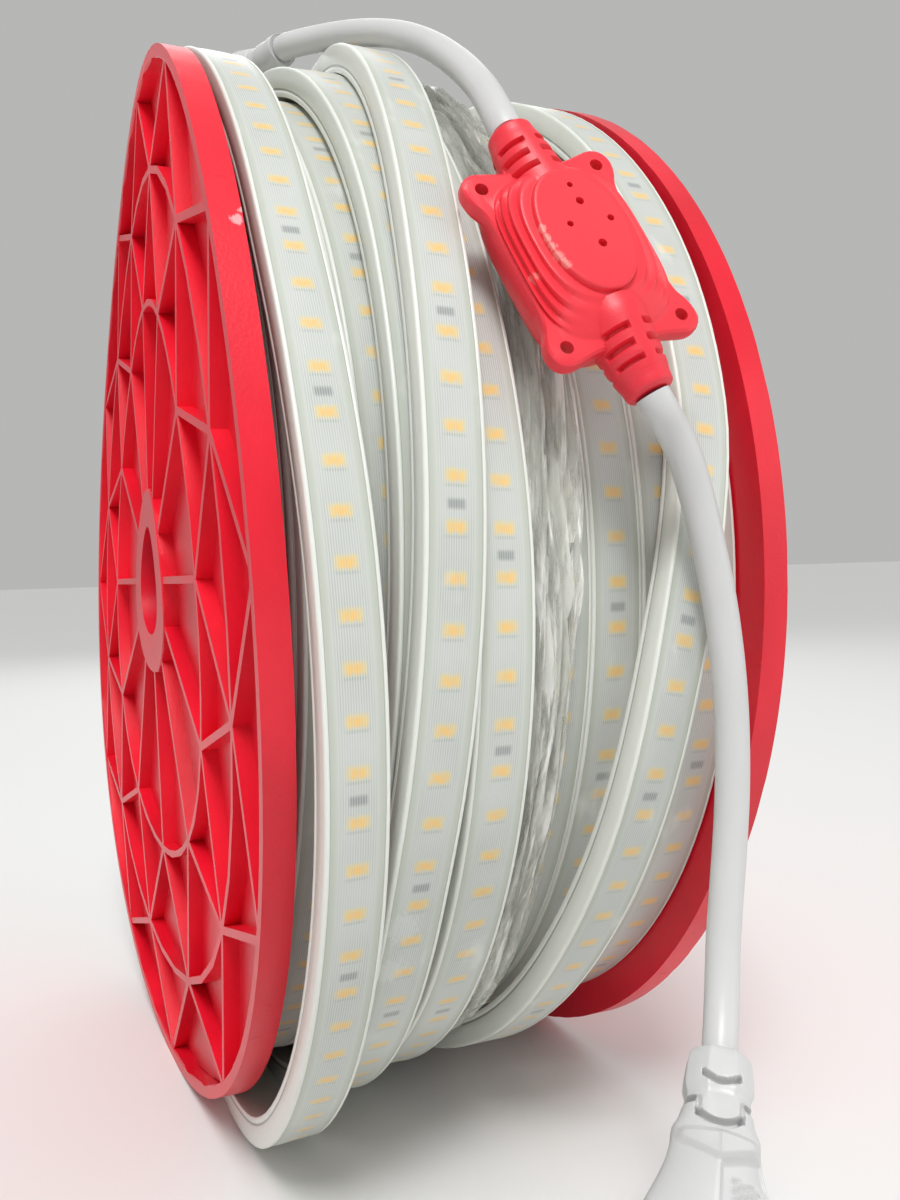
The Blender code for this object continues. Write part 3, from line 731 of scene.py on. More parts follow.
@dataclass(frozen=True)
class FilmFinish:
    """Clear wrap, crumpled and a little cloudy, with painted highlights: near-white glints in streaks along
    its folds.
    """

    tint: tuple[float, float, float] = (0.90, 0.91, 0.84)
    # Near-white of the painted glints.
    painted_glint: tuple[float, float, float] = (1.0, 1.0, 0.97)
    stretch: float = 0.045
    ripple_depth: float = 0.00018

    def make(self) -> bpy.types.Material:
        """Builds the material and returns it."""
        sheet, material, shader = new_material("wrap_clear", 0.12)
        along, across = length_map(sheet)
        joined = sheet.tree.nodes.new("ShaderNodeCombineXYZ")
        sheet.feed(joined.inputs[0], sheet.times(along, self.stretch))
        sheet.feed(joined.inputs[1], across)
        fine = sheet.noise(joined.outputs[0], 1500.0, 3.0, 0.6)
        broad = sheet.noise(joined.outputs[0], 420.0, 2.0, 0.5)
        folds = sheet.noise(joined.outputs[0], 800.0, 4.0, 0.6)
        # Painted highlight: where the bright mask is high, the wrap turns near-white and more opaque,
        # standing in for glints along the folds.
        bright = sheet.times(sheet.fade(fine, 0.44, 0.62), sheet.fade(broad, 0.32, 0.58))
        sheet.feed(shader["Base Color"], sheet.mix(bright, self.tint, self.painted_glint))
        sheet.feed(shader["Roughness"], sheet.linear(folds, 0.20, 0.06))
        clear = sheet.linear(sheet.fade(folds, 0.40, 0.70), 0.20, 0.20)
        sheet.feed(shader["Alpha"], sheet.linear(bright, 0.54, clear))
        sheet.feed(shader["Normal"], sheet.bump(sheet.linear(fine, 0.7, folds), self.ripple_depth))
        shader["IOR"].default_value = 1.45
        return material


@dataclass(frozen=True)
class MetalFinish:
    """Plated contact pins with fine turning marks."""

    colour: tuple[float, float, float] = (0.72, 0.70, 0.66)
    mark: tuple[float, float, float] = (0.60, 0.58, 0.55)

    def make(self) -> bpy.types.Material:
        """Builds the material and returns it."""
        sheet, material, shader = new_material("pin_metal", 0.25)
        shader["Metallic"].default_value = 1.0
        marks = sheet.noise(sheet.place((1.0, 1.0, 3.0)), 900.0, 3.0)
        sheet.feed(shader["Base Color"], sheet.mix(marks, self.colour, self.mark))
        sheet.feed(shader["Roughness"], sheet.linear(marks, 0.2, 0.16))
        sheet.feed(shader["Normal"], sheet.bump(marks, 0.00002))
        return material


class Finish(Enum):
    """The finishes of the object."""

    REEL = "reel_red"
    BOX = "box_red"
    STRIP = "strip_milky"
    LEAD = "lead_white"
    FILM = "wrap_clear"
    PIN = "pin_metal"


class FinishShelf:
    """Makes every finish once and hands it out."""

    def __init__(self) -> None:
        """Builds the shared groups and the materials."""
        skin, rub, face = moulded_skin_group(), rub_mark_group(), StripFace().group()
        self.materials = {
            Finish.REEL: MouldedFinish(
                "reel_red", (0.62, 0.003, 0.018), (0.84, 0.009, 0.032), (0.86, 0.42, 0.44), (0.28, 0.42),
                grain_scale=1500.0, scuff_amount=0.5, rubs=self.rim_rubs(),
            ).make(skin, rub),
            Finish.BOX: MouldedFinish(
                "box_red", (0.72, 0.022, 0.042), (0.84, 0.036, 0.054), (0.86, 0.44, 0.38), (0.36, 0.48),
                grain_scale=3600.0, scuff_amount=0.35, rub_strength=0.45, rubs=self.plate_rubs(),
            ).make(skin, rub),
            Finish.LEAD: MouldedFinish(
                "lead_white", (0.56, 0.56, 0.56), (0.62, 0.62, 0.62), (0.50, 0.48, 0.44), (0.28, 0.40),
                grain_scale=3200.0, scuff_amount=0.2, grain_depth=0.00002,
            ).make(skin, rub),
            Finish.STRIP: StripFinish().make(face, rub),
            Finish.FILM: FilmFinish().make(),
            Finish.PIN: MetalFinish().make(),
        }

    @staticmethod
    def rim_rubs() -> Table:
        """The pale rub on the near rim, as (x, y, z, reach)."""
        marks = ((0.0016, 62, 0.0015), (0.0030, 61, 0.0011))
        return tuple(
            (*PLAN.around(x, PLAN.flange_radius, radians(angle)), reach) for x, angle, reach in marks
        )

    @staticmethod
    def plate_rubs() -> Table:
        """The pale rubs along one edge of the box's plate and on its flank, as (x, y, z, reach)."""
        box = RectifierBox()
        marks = (
            (0.0081, -0.0036, 1.0, 0.0011), (0.0081, -0.0018, 1.0, 0.0012), (0.0080, 0.0000, 1.0, 0.0013),
            (0.0077, 0.0018, 1.0, 0.0013), (0.0071, 0.0036, 1.0, 0.0012), (0.0112, 0.0030, 0.70, 0.0014),
        )
        placement = box.placement()
        return tuple(
            (*(placement @ Vector((across, along, box.height * share))), reach)
            for across, along, share, reach in marks
        )

    def get(self, finish: Finish) -> bpy.types.Material:
        """The material of a finish."""
        return self.materials[finish]


@dataclass(frozen=True)
class StripSection:
    """Half of the strip's section in millimetres, from the middle of its milky face round the right wall."""

    half_top: Table = ((0.0, 3.06), (1.2, 3.06), (2.4, 3.04), (3.6, 3.00), (4.55, 2.96))
    seam_length: float = 0.02
    wall: Table = (
        (4.63, 3.04), (4.95, 3.09), (5.18, 3.00), (5.32, 2.78), (5.38, 2.4), (5.4, 0.8),
        (5.36, -1.25), (5.22, -1.48), (5.16, -1.62), (5.24, -1.76), (5.38, -1.92), (5.4, -2.4),
        (5.25, -2.92), (4.9, -3.08),
    )

    def side(self) -> list[tuple[float, float]]:
        """Half of the section in metres, from the middle of the top to the right lower corner."""
        return [(x / 1000, z / 1000) for x, z in self.half_top + self.wall]

    def lengths(self) -> list[float]:
        """The length round that half at each of its points."""
        half, total, lengths = self.side(), 0.0, [0.0]
        for (x0, z0), (x1, z1) in zip(half, half[1:]):
            total += Vector((x1 - x0, z1 - z0)).length
            lengths.append(total)
        return lengths

    def loop(self) -> tuple[list[tuple[float, float]], list[float]]:
        """The whole section, mirrored, and the signed length at each of its points and at the seam."""
        half, lengths = self.side(), self.lengths()
        left = [(-x, z) for x, z in half[:0:-1]]
        below = [-length for length in lengths[:0:-1]]
        return left + half, below + lengths + [self.seam_length]


@dataclass
class LooseStrip:
    """A run of strip that follows a table of turns over the tight winding."""

    name: str
    table: Table
    phase: float
    turn_step: float = 2.5
    face_stretch: float = 1.056
    sag: float = 0.0005
    sway: float = 0.0004
    inset: float = 0.00016
    twist: float = 0.05
    floor_gap: float = 0.00005

    def path(self) -> list[Vector]:
        """Middle points of the run, flat where it meets the floor."""
        start, end = self.table[0][0], self.table[-1][0]
        steps = round((end - start) / self.turn_step)
        half, points = PLAN.strip_thickness / 2, []
        for k in range(steps + 1):
            angle = start + (end - start) * k / steps
            lane, rise = between(self.table, angle)
            radius = PLAN.winding_radius + rise * PLAN.strip_thickness - half
            loose = clamp(rise - 1.3) * self.sag
            sway = noise.noise(Vector((angle * 0.02, 3.7, self.phase * 900))) * self.sway
            wave = noise.noise(Vector((angle * 0.03, 9.1, self.phase * 700))) * loose
            point = PLAN.around(PLAN.lane_x(lane) + sway, radius + wave - self.inset, radians(angle))
            point.z = max(point.z, half + self.floor_gap)
            points.append(point)
        return points

    def build(self, material: bpy.types.Material) -> bpy.types.Object:
        """Sweeps the detailed section along the run and returns the piece."""
        section, across = StripSection().loop()
        points = self.path()
        rings, along, total = [], [], self.phase
        for i, point in enumerate(points):
            run = heading(points, i)
            side = squared(Vector((1.0, 0.0, 0.0)), run)
            twist = noise.noise(Vector((total * 22.0, 1.3, 4.0))) * self.twist
            out = run.cross(side)
            side, out = side * cos(twist) + out * sin(twist), out * cos(twist) - side * sin(twist)
            ring = [point + side * a + out * b for a, b in section]
            for corner in ring:
                corner.z = max(corner.z, 0.00002)
            rings.append(ring)
            along.append(total)
            if i + 1 < len(points):
                total += (points[i + 1] - point).length * self.face_stretch
        piece = Skin().tube(rings, along + [total], across).build(self.name + "_detailed", material)
        return finished(piece, self.name)


@dataclass
class TightWinding:
    """The wound body: lanes of strip side by side, and all its layers showing at both ends."""

    segments: int = 160
    drift: float = 0.0003
    layer_groove: float = 0.0006
    wall_points: int = 7
    outer_layer: float = 0.004
    layer_keys: Table = (
        (0.10, 0.45, 0.0053), (0.20, 0.0, 0.0056), (0.60, 0.0, 0.0075), (0.70, 0.5, 0.0099),
        (0.78, 0.0, 0.0108), (0.93, 0.3, 0.0115), (1.0, 1.3, 0.0120),
    )

    def profile(self) -> tuple[list[tuple[int, float, float]], list[float]]:
        """The winding's section, from the near lane's top over the far end to the near end.

        Returns:
            Points of (lane, distance along the axis, radius), and the place across the strip at each.
            On the ends, the lane is one past the last.
        """
        section = StripSection()
        half, lengths = section.side(), section.lengths()
        count = len(section.half_top) + self.wall_points
        lane_width = PLAN.lane_x(1.0) - PLAN.lane_x(0.0)
        top = PLAN.winding_radius - PLAN.strip_thickness / 2
        points, across = [], []
        for lane in range(PLAN.lanes):
            middle = PLAN.lane_x(lane + 0.5)
            for side, order in ((-1, range(count - 1, 0, -1)), (1, range(count))):
                for k in order:
                    x = middle + side * half[k][0] * lane_width / PLAN.strip_width
                    points.append((lane, x, top + half[k][1]))
                    across.append(side * lengths[k])
        inner = PLAN.core_radius + PLAN.clearance
        layers = round((PLAN.winding_radius - inner) / PLAN.strip_thickness)
        depth = (PLAN.winding_radius - inner) / layers
        for end, inward in ((PLAN.winding_end, -1), (PLAN.winding_start, 1)):
            stack = []
            for layer in range(layers):
                outer = PLAN.winding_radius - layer * depth
                for share, step, width in self.layer_keys:
                    x = end + inward * step * self.layer_groove
                    stack.append(((PLAN.lanes, x, outer - share * depth), width))
            stack = stack[3:]
            if inward > 0:
                stack.reverse()
            points += [point for point, _ in stack]
            across += [width for _, width in stack]
        return points, across

    def build(self, material: bpy.types.Material) -> bpy.types.Object:
        """Turns the section round the axis with a small drift in each lane, and returns the piece."""
        points, across = self.profile()
        rings, along = [], []
        for k in range(self.segments):
            angle = tau * k / self.segments
            ring = []
            for lane, x, radius in points:
                seat = Vector((lane * 5.3, cos(angle) * 1.4, sin(angle) * 1.4))
                outer = radius > PLAN.winding_radius - self.outer_layer
                shift = noise.noise(seat) * self.drift if outer else 0.0
                aside = shift * 0.3 if 0 < lane < PLAN.lanes - 1 else 0.0
                ring.append(PLAN.around(x + aside, radius - abs(shift), angle))
            rings.append(ring)
            along.append(angle * PLAN.winding_radius)
        along.append(tau * PLAN.winding_radius)
        skin = Skin().tube(rings, along, across + [across[-1]], closed=True)
        piece = skin.build("strip_winding_turns", material)
        return finished(piece, "strip_winding")


@dataclass
class WrapFilm:
    """The crumpled clear wrap that is wound in between the turns."""

    sheets: int = 2
    width: float = 0.0088
    flap: float = 0.0034
    turn_step: float = 1.0
    count: int = 26
    thickness: float = 0.00010
    ragged: float = 0.0006
    flap_at: float = 48.0
    flap_half: float = 45.0

    def lift(self, share: float, angle: float, index: int) -> float:
        """How high a sheet lies in the bundle at a place.

        Args:
            share: Place across, from -1 to 1.
            angle: Place round the reel in degrees.
            index: Which sheet it is.

        Returns:
            A share of the bundle's height, from 0 to 1.
        """
        meander = noise.noise(Vector((angle * 0.021, index * 7.0, 1.0))) * 1.3
        pleat = noise.noise(Vector((share * 3.4 + meander, angle * 0.030, index * 5.0)))
        crease = noise.noise(Vector((share * 9.0 + meander * 2, angle * 0.030, index * 3.0)))
        crumple = noise.noise(Vector((share * 9.0, angle * 0.30, index * 9.0)))
        height = 0.30 + 0.40 * index + 0.55 * (0.5 - min(1.0, abs(pleat) * 2.4)) * 0.7
        height += 0.22 * (0.5 - min(1.0, abs(crease) * 2.4)) + 0.015 * crumple
        return max(0.02, min(1.0, height)) * (1 - 0.45 * abs(share) ** 4)

    def sheet(self, skin: Skin, index: int) -> None:
        """Adds one crumpled sheet of the bundle to a skin."""
        start, end = WRAP_TURN[0][0], WRAP_TURN[-1][0]
        steps = round((end - start) / self.turn_step)
        low = PLAN.winding_radius + 2 * PLAN.clearance
        rings, along = [], []
        for k in range(steps + 1):
            angle = start + (end - start) * k / steps
            lane, rise = between(WRAP_TURN, angle)
            room = rise * PLAN.strip_thickness - 3 * PLAN.clearance
            flap = self.flap * window(angle, self.flap_at, self.flap_half, 30.0) * (0.5 + 0.5 * (index % 2))
            upper, lower = [], []
            for j in range(self.count):
                share = -1 + 2 * j / (self.count - 1)
                lift = room * self.lift(share, angle, index)
                edge = noise.noise(Vector((angle * 0.09, share * 2.0, index * 4.0))) * self.ragged
                x = PLAN.lane_x(lane) + share * self.width / 2 + edge + flap * max(0.0, share)
                if share > 0.3:
                    lift *= 1 - 0.6 * (share - 0.3) * flap / self.flap
                upper.append(PLAN.around(x, low + lift + self.thickness, radians(angle)))
                lower.append(PLAN.around(x, low + lift, radians(angle)))
            rings.append(upper + lower[::-1])
            along.append(radians(angle) * PLAN.winding_radius)
        reach = [self.width * j / (self.count - 1) + index * 0.05 for j in range(self.count)]
        skin.tube(rings, along + [along[-1]], reach + reach[::-1] + [reach[0]])

    def build(self, material: bpy.types.Material) -> bpy.types.Object:
        """Makes all sheets as one piece and returns it."""
        skin = Skin()
        for index in range(self.sheets):
            self.sheet(skin, index)
        return finished(skin.build("wrap_film_crumpled", material, 55.0), "wrap_film")


@dataclass
class ReelFlanges:
    """The two ribbed flanges and the barrel, with softened edges and flash nicks on the rims."""

    edge: float = 0.00028
    nick: float = 0.00014
    rim_depth: float = 0.0036
    barrel_wall: float = 0.003
    barrel_sides: int = 96

    def round_rim(self, edit: bmesh.types.BMesh) -> None:
        """Splits the long straight edges of the rim and moves the new corners out to their circle."""
        rings, chosen = set(), []
        for edge in edit.edges:
            low, high = sorted(self.reach(vertex.co) for vertex in edge.verts)
            level = high - low < 0.00005
            if level and low > PLAN.flange_radius - self.rim_depth and edge.calc_length() > 0.003:
                rings.add(round(high, 6))
                chosen.append(edge)
        made = bmesh.ops.subdivide_edges(edit, edges=chosen, cuts=3)
        for vertex in made["geom_inner"]:
            if not isinstance(vertex, bmesh.types.BMVert):
                continue
            radius = self.reach(vertex.co)
            wanted = min((ring for ring in rings if ring > radius - 0.000002), default=radius)
            vertex.co.y = PLAN.axis_y + (vertex.co.y - PLAN.axis_y) * wanted / radius
            vertex.co.z = max(0.0, PLAN.axis_z + (vertex.co.z - PLAN.axis_z) * wanted / radius)

    @staticmethod
    def reach(point: Vector) -> float:
        """A point's distance from the axis."""
        return ((point.y - PLAN.axis_y) ** 2 + (point.z - PLAN.axis_z) ** 2) ** 0.5

    def soften(self, node: bpy.types.Object, material: bpy.types.Material, name: str) -> bpy.types.Object:
        """Copies a CAD node, rounds its edges, wears its rim and returns the copy."""
        mesh = node.data.copy()
        piece = add_object(name, mesh)
        edit = bmesh.new()
        edit.from_mesh(mesh)
        bmesh.ops.remove_doubles(edit, verts=edit.verts, dist=0.000005)
        bmesh.ops.dissolve_limit(edit, angle_limit=radians(0.6), verts=edit.verts, edges=edit.edges)
        self.round_rim(edit)
        edit.to_mesh(mesh)
        edit.free()
        bevel = piece.modifiers.new("edges", "BEVEL")
        bevel.width = self.edge
        bevel.segments = 2
        bevel.limit_method = "ANGLE"
        bevel.angle_limit = radians(38)
        apply_modifiers(piece)
        self.wear(piece.data)
        piece.data.shade_smooth()
        piece.data.set_sharp_from_angle(angle=radians(32))
        weigh = piece.modifiers.new("normals", "WEIGHTED_NORMAL")
        weigh.keep_sharp = True
        apply_modifiers(piece)
        piece.data.materials.clear()
        piece.data.materials.append(material)
        return piece

    def wear(self, mesh: bpy.types.Mesh) -> None:
        """Presses small nicks into the rim, away from where it stands on the floor."""
        for vertex in mesh.vertices:
            y, z = vertex.co.y - PLAN.axis_y, vertex.co.z - PLAN.axis_z
            radius = (y * y + z * z) ** 0.5
            if radius < PLAN.flange_radius - 0.0009 or vertex.co.z < 0.004:
                continue
            depth = max(0.0, noise.noise(vertex.co * 260.0) - 0.22) * self.nick * 2.2
            vertex.co.y -= y / radius * depth
            vertex.co.z -= z / radius * depth

    def build(self, nodes: dict, material: bpy.types.Material) -> None:
        """Dresses the flanges and the barrel."""
        for side in ("reel_flange_near", "reel_flange_far"):
            piece = self.soften(nodes[side], material, side + "_moulded")
            finished(piece, side)
        start = PLAN.flange_width + PLAN.warp * PLAN.core_radius / PLAN.flange_radius + PLAN.clearance
        end = PLAN.flange_width + PLAN.gap - PLAN.clearance
        outer, inner = PLAN.core_radius - 0.00005, PLAN.core_radius - self.barrel_wall
        profile = (
            (start, outer - 0.0004), (start + 0.0004, outer),
            (end - 0.0004, outer), (end, outer - 0.0004),
            (end, inner + 0.0003), (end - 0.0003, inner),
            (start + 0.0003, inner), (start, inner + 0.0003),
        )
        sides = self.barrel_sides
        rings = [[PLAN.around(x, r, tau * k / sides) for x, r in profile] for k in range(sides)]
        barrel = Skin().plain(rings, closed=True).build("reel_barrel", material)
        finished(barrel, "reel_core")


def frame_at(origin: Vector, along: Vector, across: Vector) -> Matrix:
    """A placement whose Y runs along and whose X lies towards across.

    Args:
        origin: Where it is.
        along: Direction of its Y.
        across: Direction near its X.

    Returns:
        The placement.
    """
    y = along.normalized()
    x = squared(across, y)
    placement = Matrix((x, y, x.cross(y))).transposed().to_4x4()
    placement.translation = origin
    return placement


@dataclass
class Connector:
    """The moulded cap between the strip's end and the upper lead."""

    length: float = 0.022
    width: float = 0.0126
    thickness: float = 0.0082
    neck: float = 0.0044
    groove: float = 0.00035
    grooves_at: tuple[float, ...] = (0.66, 0.75, 0.84)

    def placement(self) -> Matrix:
        """On the middle of the strip's end face, Y along the lead."""
        angle, lane, rise = LOOSE_TURNS[-1]
        before = LooseStrip("", LOOSE_TURNS, 0.0, turn_step=7.5, sag=0.0).path()
        radius = PLAN.winding_radius + rise * PLAN.strip_thickness - PLAN.strip_thickness / 2
        end = PLAN.around(PLAN.lane_x(lane), radius, radians(angle))
        along = before[-1] - before[-2]
        return frame_at(end + along.normalized() * PLAN.clearance, along, Vector((1.0, 0.0, 0.0)))

    def tip(self) -> tuple[Vector, Vector]:
        """Where the lead starts and its direction."""
        placement = self.placement()
        lift = (self.thickness - PLAN.strip_thickness) / 2
        return placement @ Vector((0.0, self.length + PLAN.clearance, lift)), placement.col[1].xyz

    def build(self, material: bpy.types.Material) -> bpy.types.Object:
        """Lofts the cap with its collar and ringed sleeve and returns the piece."""
        half_width, half_height = self.width / 2, self.thickness / 2
        keys = (
            (0.0, half_width * 0.93, half_height * 0.90, 5), (0.03, half_width, half_height, 5),
            (0.40, half_width, half_height, 5), (0.44, half_width * 0.95, half_height * 0.94, 4.5),
            (0.55, self.neck * 1.12, self.neck * 0.93, 2.6),
            (0.60, self.neck * 1.04, self.neck * 0.90, 2.2),
            (0.97, self.neck * 0.90, self.neck * 0.88, 2), (1.0, self.neck * 0.82, self.neck * 0.80, 2),
        )
        placement, rings = self.placement(), []
        lift = half_height - PLAN.strip_thickness / 2
        for share, width, height, power in smooth_rows(keys, 6):
            groove = self.groove * sum(window(share, middle, 0.02, 0.03) for middle in self.grooves_at)
            outline = rounded(width - groove, height - groove, power, 40)
            rings.append([placement @ Vector((x, share * self.length, z + lift)) for x, z in outline])
        piece = Skin().plain(rings).build("strip_end_cap", material)
        return finished(piece, "strip_end_connector")


@dataclass
class RectifierBox:
    """The red inline housing: skirt, ridged flanks, oval plate, lugs and slotted strain reliefs."""

    length: float = 0.0362
    width: float = 0.0270
    height: float = 0.0126
    seat: float = 0.1303
    angle: float = 67.4
    x: float = 0.0568
    swing: float = radians(16)
    roll: float = radians(6)
    lug_across: float = 0.0236
    lug_along: float = 0.0318
    lug_hole: float = 0.0012
    lug_top: float = 0.0085
    lug_thickness: float = 0.0032
    relief_reach: float = 0.0270
    relief_height: float = 0.0064
    slot_rows: tuple[float, ...] = (0.0164, 0.0193, 0.0221)
    slot_depth: float = 0.0014
    plate_offset: float = 0.0019
    ridge_period: float = 0.068
    ridge_flow: float = 0.036
    ridge_lift: float = 0.00034
    pin_hole_depth: float = 0.0012
    sharp: float = 34.0

    def placement(self) -> Matrix:
        """The middle of the seat: Y towards the lower lead, Z outwards."""
        angle = radians(self.angle)
        out = Vector((0.0, -sin(angle), cos(angle)))
        down = Vector((0.0, -cos(angle), -sin(angle)))
        along = down * cos(self.swing) + Vector((sin(self.swing), 0.0, 0.0))
        base = frame_at(PLAN.around(self.x, self.seat, angle), along, along.cross(out))
        return base @ Matrix.Rotation(self.roll, 4, "Y")

    def tip(self, side: int) -> tuple[Vector, Vector]:
        """Just off the end of a strain relief, and the direction that it points in."""
        placement = self.placement()
        end = placement @ Vector((0.0, side * (self.relief_reach + PLAN.clearance), self.relief_height))
        return end, side * placement.col[1].xyz

    def housing(self, material: bpy.types.Material) -> bpy.types.Object:
        """The body with its skirt, ridges and raised plate."""
        keys = (
            (0.0, 0.80, 0.90, 4), (0.06, 0.86, 0.935, 4), (0.20, 0.95, 0.965, 4), (0.34, 0.985, 0.98, 4),
            (0.48, 0.998, 0.985, 4), (0.60, 0.985, 0.975, 4), (0.665, 0.965, 0.955, 4),
            (0.68, 0.945, 0.90, 3.6), (0.74, 0.90, 0.860, 3.4), (0.82, 0.82, 0.800, 3.0),
            (0.88, 0.73, 0.735, 2.6), (0.91, 0.665, 0.700, 2.3), (0.915, 0.612, 0.672, 2.1),
            (0.925, 0.606, 0.668, 2.1), (0.985, 0.598, 0.662, 2.05), (1.0, 0.572, 0.640, 2.0),
            (1.0, 0.545, 0.615, 2.0),
        )
        placement, rings, count = self.placement(), [], 96
        for share, width, length, power in smooth_rows(keys, 5):
            outline = rounded(self.width / 2 * width, self.length / 2 * length, power, count)
            ridge = window(share, 0.785, 0.115, 0.05) * cos(tau * (share - 0.70) / self.ridge_period)
            ring = []
            offset = self.plate_offset * clamp((share - 0.70) / 0.18)
            for across, along in outline:
                flank = window(along, 0.0, 0.0118, 0.005) * window(abs(across), 0.0135, 0.0085, 0.004)
                flow = 1 + self.ridge_flow * ridge * flank
                lift = self.ridge_lift * ridge * flank
                ring.append(placement @ Vector((across * flow, along - offset, share * self.height + lift)))
            rings.append(ring)
        return Skin().plain(rings).build("rectifier_housing", material, self.sharp)

    def lug_plate(self) -> bpy.types.Object:
        """The flat plate whose four rounded corners are the lugs, from an outline in millimetres."""
        corner = (
            (13.20, 0.0), (13.20, 4.0), (13.25, 8.0), (13.70, 11.6), (14.75, 13.9), (15.20, 15.9),
            (14.85, 17.6), (13.70, 18.85), (11.9, 19.3), (9.6, 18.95), (7.2, 18.45), (3.6, 18.2),
            (0.0, 18.15),
        )
        quarter = smooth_rows(corner, 4)
        outline = quarter + [[-x, y] for x, y in quarter[-2::-1]]
        outline += [[-x, -y] for x, y in quarter[1:]] + [[x, -y] for x, y in quarter[-2:0:-1]]
        placement, rings = self.placement(), []
        low, rim = self.lug_top - self.lug_thickness, 0.0005
        for height, size in (
            (low, 0.965), (low + rim, 0.994), (low + 2 * rim, 1.0),
            (self.lug_top - 2 * rim, 1.0), (self.lug_top - rim * 0.7, 0.992), (self.lug_top, 0.965),
        ):
            corners = [Vector((x * size / 1000, y * size / 1000, height)) for x, y in outline]
            rings.append([placement @ corner for corner in corners])
        return Skin().plain(rings).build("lug_plate", None)

    def hole(self, name: str, across: float, along: float, radius: float, low: float) -> bpy.types.Object:
        """A straight cutter along the housing's Z, from a height to just above the plate."""
        placement, high = self.placement(), self.height + 0.001
        outline = rounded(radius, radius, 2, 20)
        rings = [[placement @ Vector((across + x, along + y, z)) for x, y in outline] for z in (low, high)]
        return Skin().plain(rings).build(name, None)

    def relief(self, name: str, side: int) -> bpy.types.Object:
        """A strain relief with staggered slots and a plain collar at its end."""
        placement, rings, count = self.placement(), [], 72
        keys = (
            (0.0105, 0.0056), (0.0130, 0.0060), (0.0158, 0.0058), (0.0190, 0.0054), (0.0222, 0.0050),
            (0.0238, 0.0047), (0.0241, 0.0046), (0.0250, 0.0044), (0.0258, 0.0043),
            (self.relief_reach - 0.0004, 0.0041), (self.relief_reach + 0.0001, 0.0034),
        )
        for reach, radius in smooth_rows(keys, 9):
            ring = []
            for k in range(count):
                turn, cut = tau * (k + 0.5) / count, 0.0
                for row, middle in enumerate(self.slot_rows):
                    wave = -cos(4 * (turn + 0.10 * (row % 2)))
                    cut += window(reach, middle, 0.00042, 0.0003) * window(wave, 1.0, 1.50, 0.3)
                size = radius - self.slot_depth * min(1.0, cut)
                height = self.relief_height + size * sin(turn)
                ring.append(placement @ Vector((size * cos(turn), side * reach, height)))
            rings.append(ring)
        return Skin().plain(rings).build(name, None)

    def build(self, material: bpy.types.Material) -> bpy.types.Object:
        """Joins the housing, lugs and reliefs, cuts the holes and returns the piece."""
        body = self.housing(material)
        joined, cut = [self.lug_plate(), self.relief("relief_up", -1), self.relief("relief_down", 1)], []
        for i, (a, b) in enumerate(((-1, -1), (1, -1), (-1, 1), (1, 1))):
            place = (a * self.lug_across / 2, b * self.lug_along / 2)
            cut.append(self.hole(f"lug_hole_{i}", *place, self.lug_hole, -0.001))
        spots = (
            (-0.0013, -0.0104, 0.55), (-0.0015, -0.0070, 0.75), (-0.0054, -0.0026, 0.65),
            (0.0025, -0.0032, 0.6), (-0.0014, 0.0016, 0.8),
        )
        for i, (across, along, size) in enumerate(spots):
            low = self.height - self.pin_hole_depth
            cut.append(self.hole(f"pin_hole_{i}", across, along, size / 1000, low))
        combine(body, joined, "UNION")
        combine(body, cut, "DIFFERENCE")
        body.data.shade_smooth()
        body.data.set_sharp_from_angle(angle=radians(self.sharp))
        return finished(body, "rectifier_box")


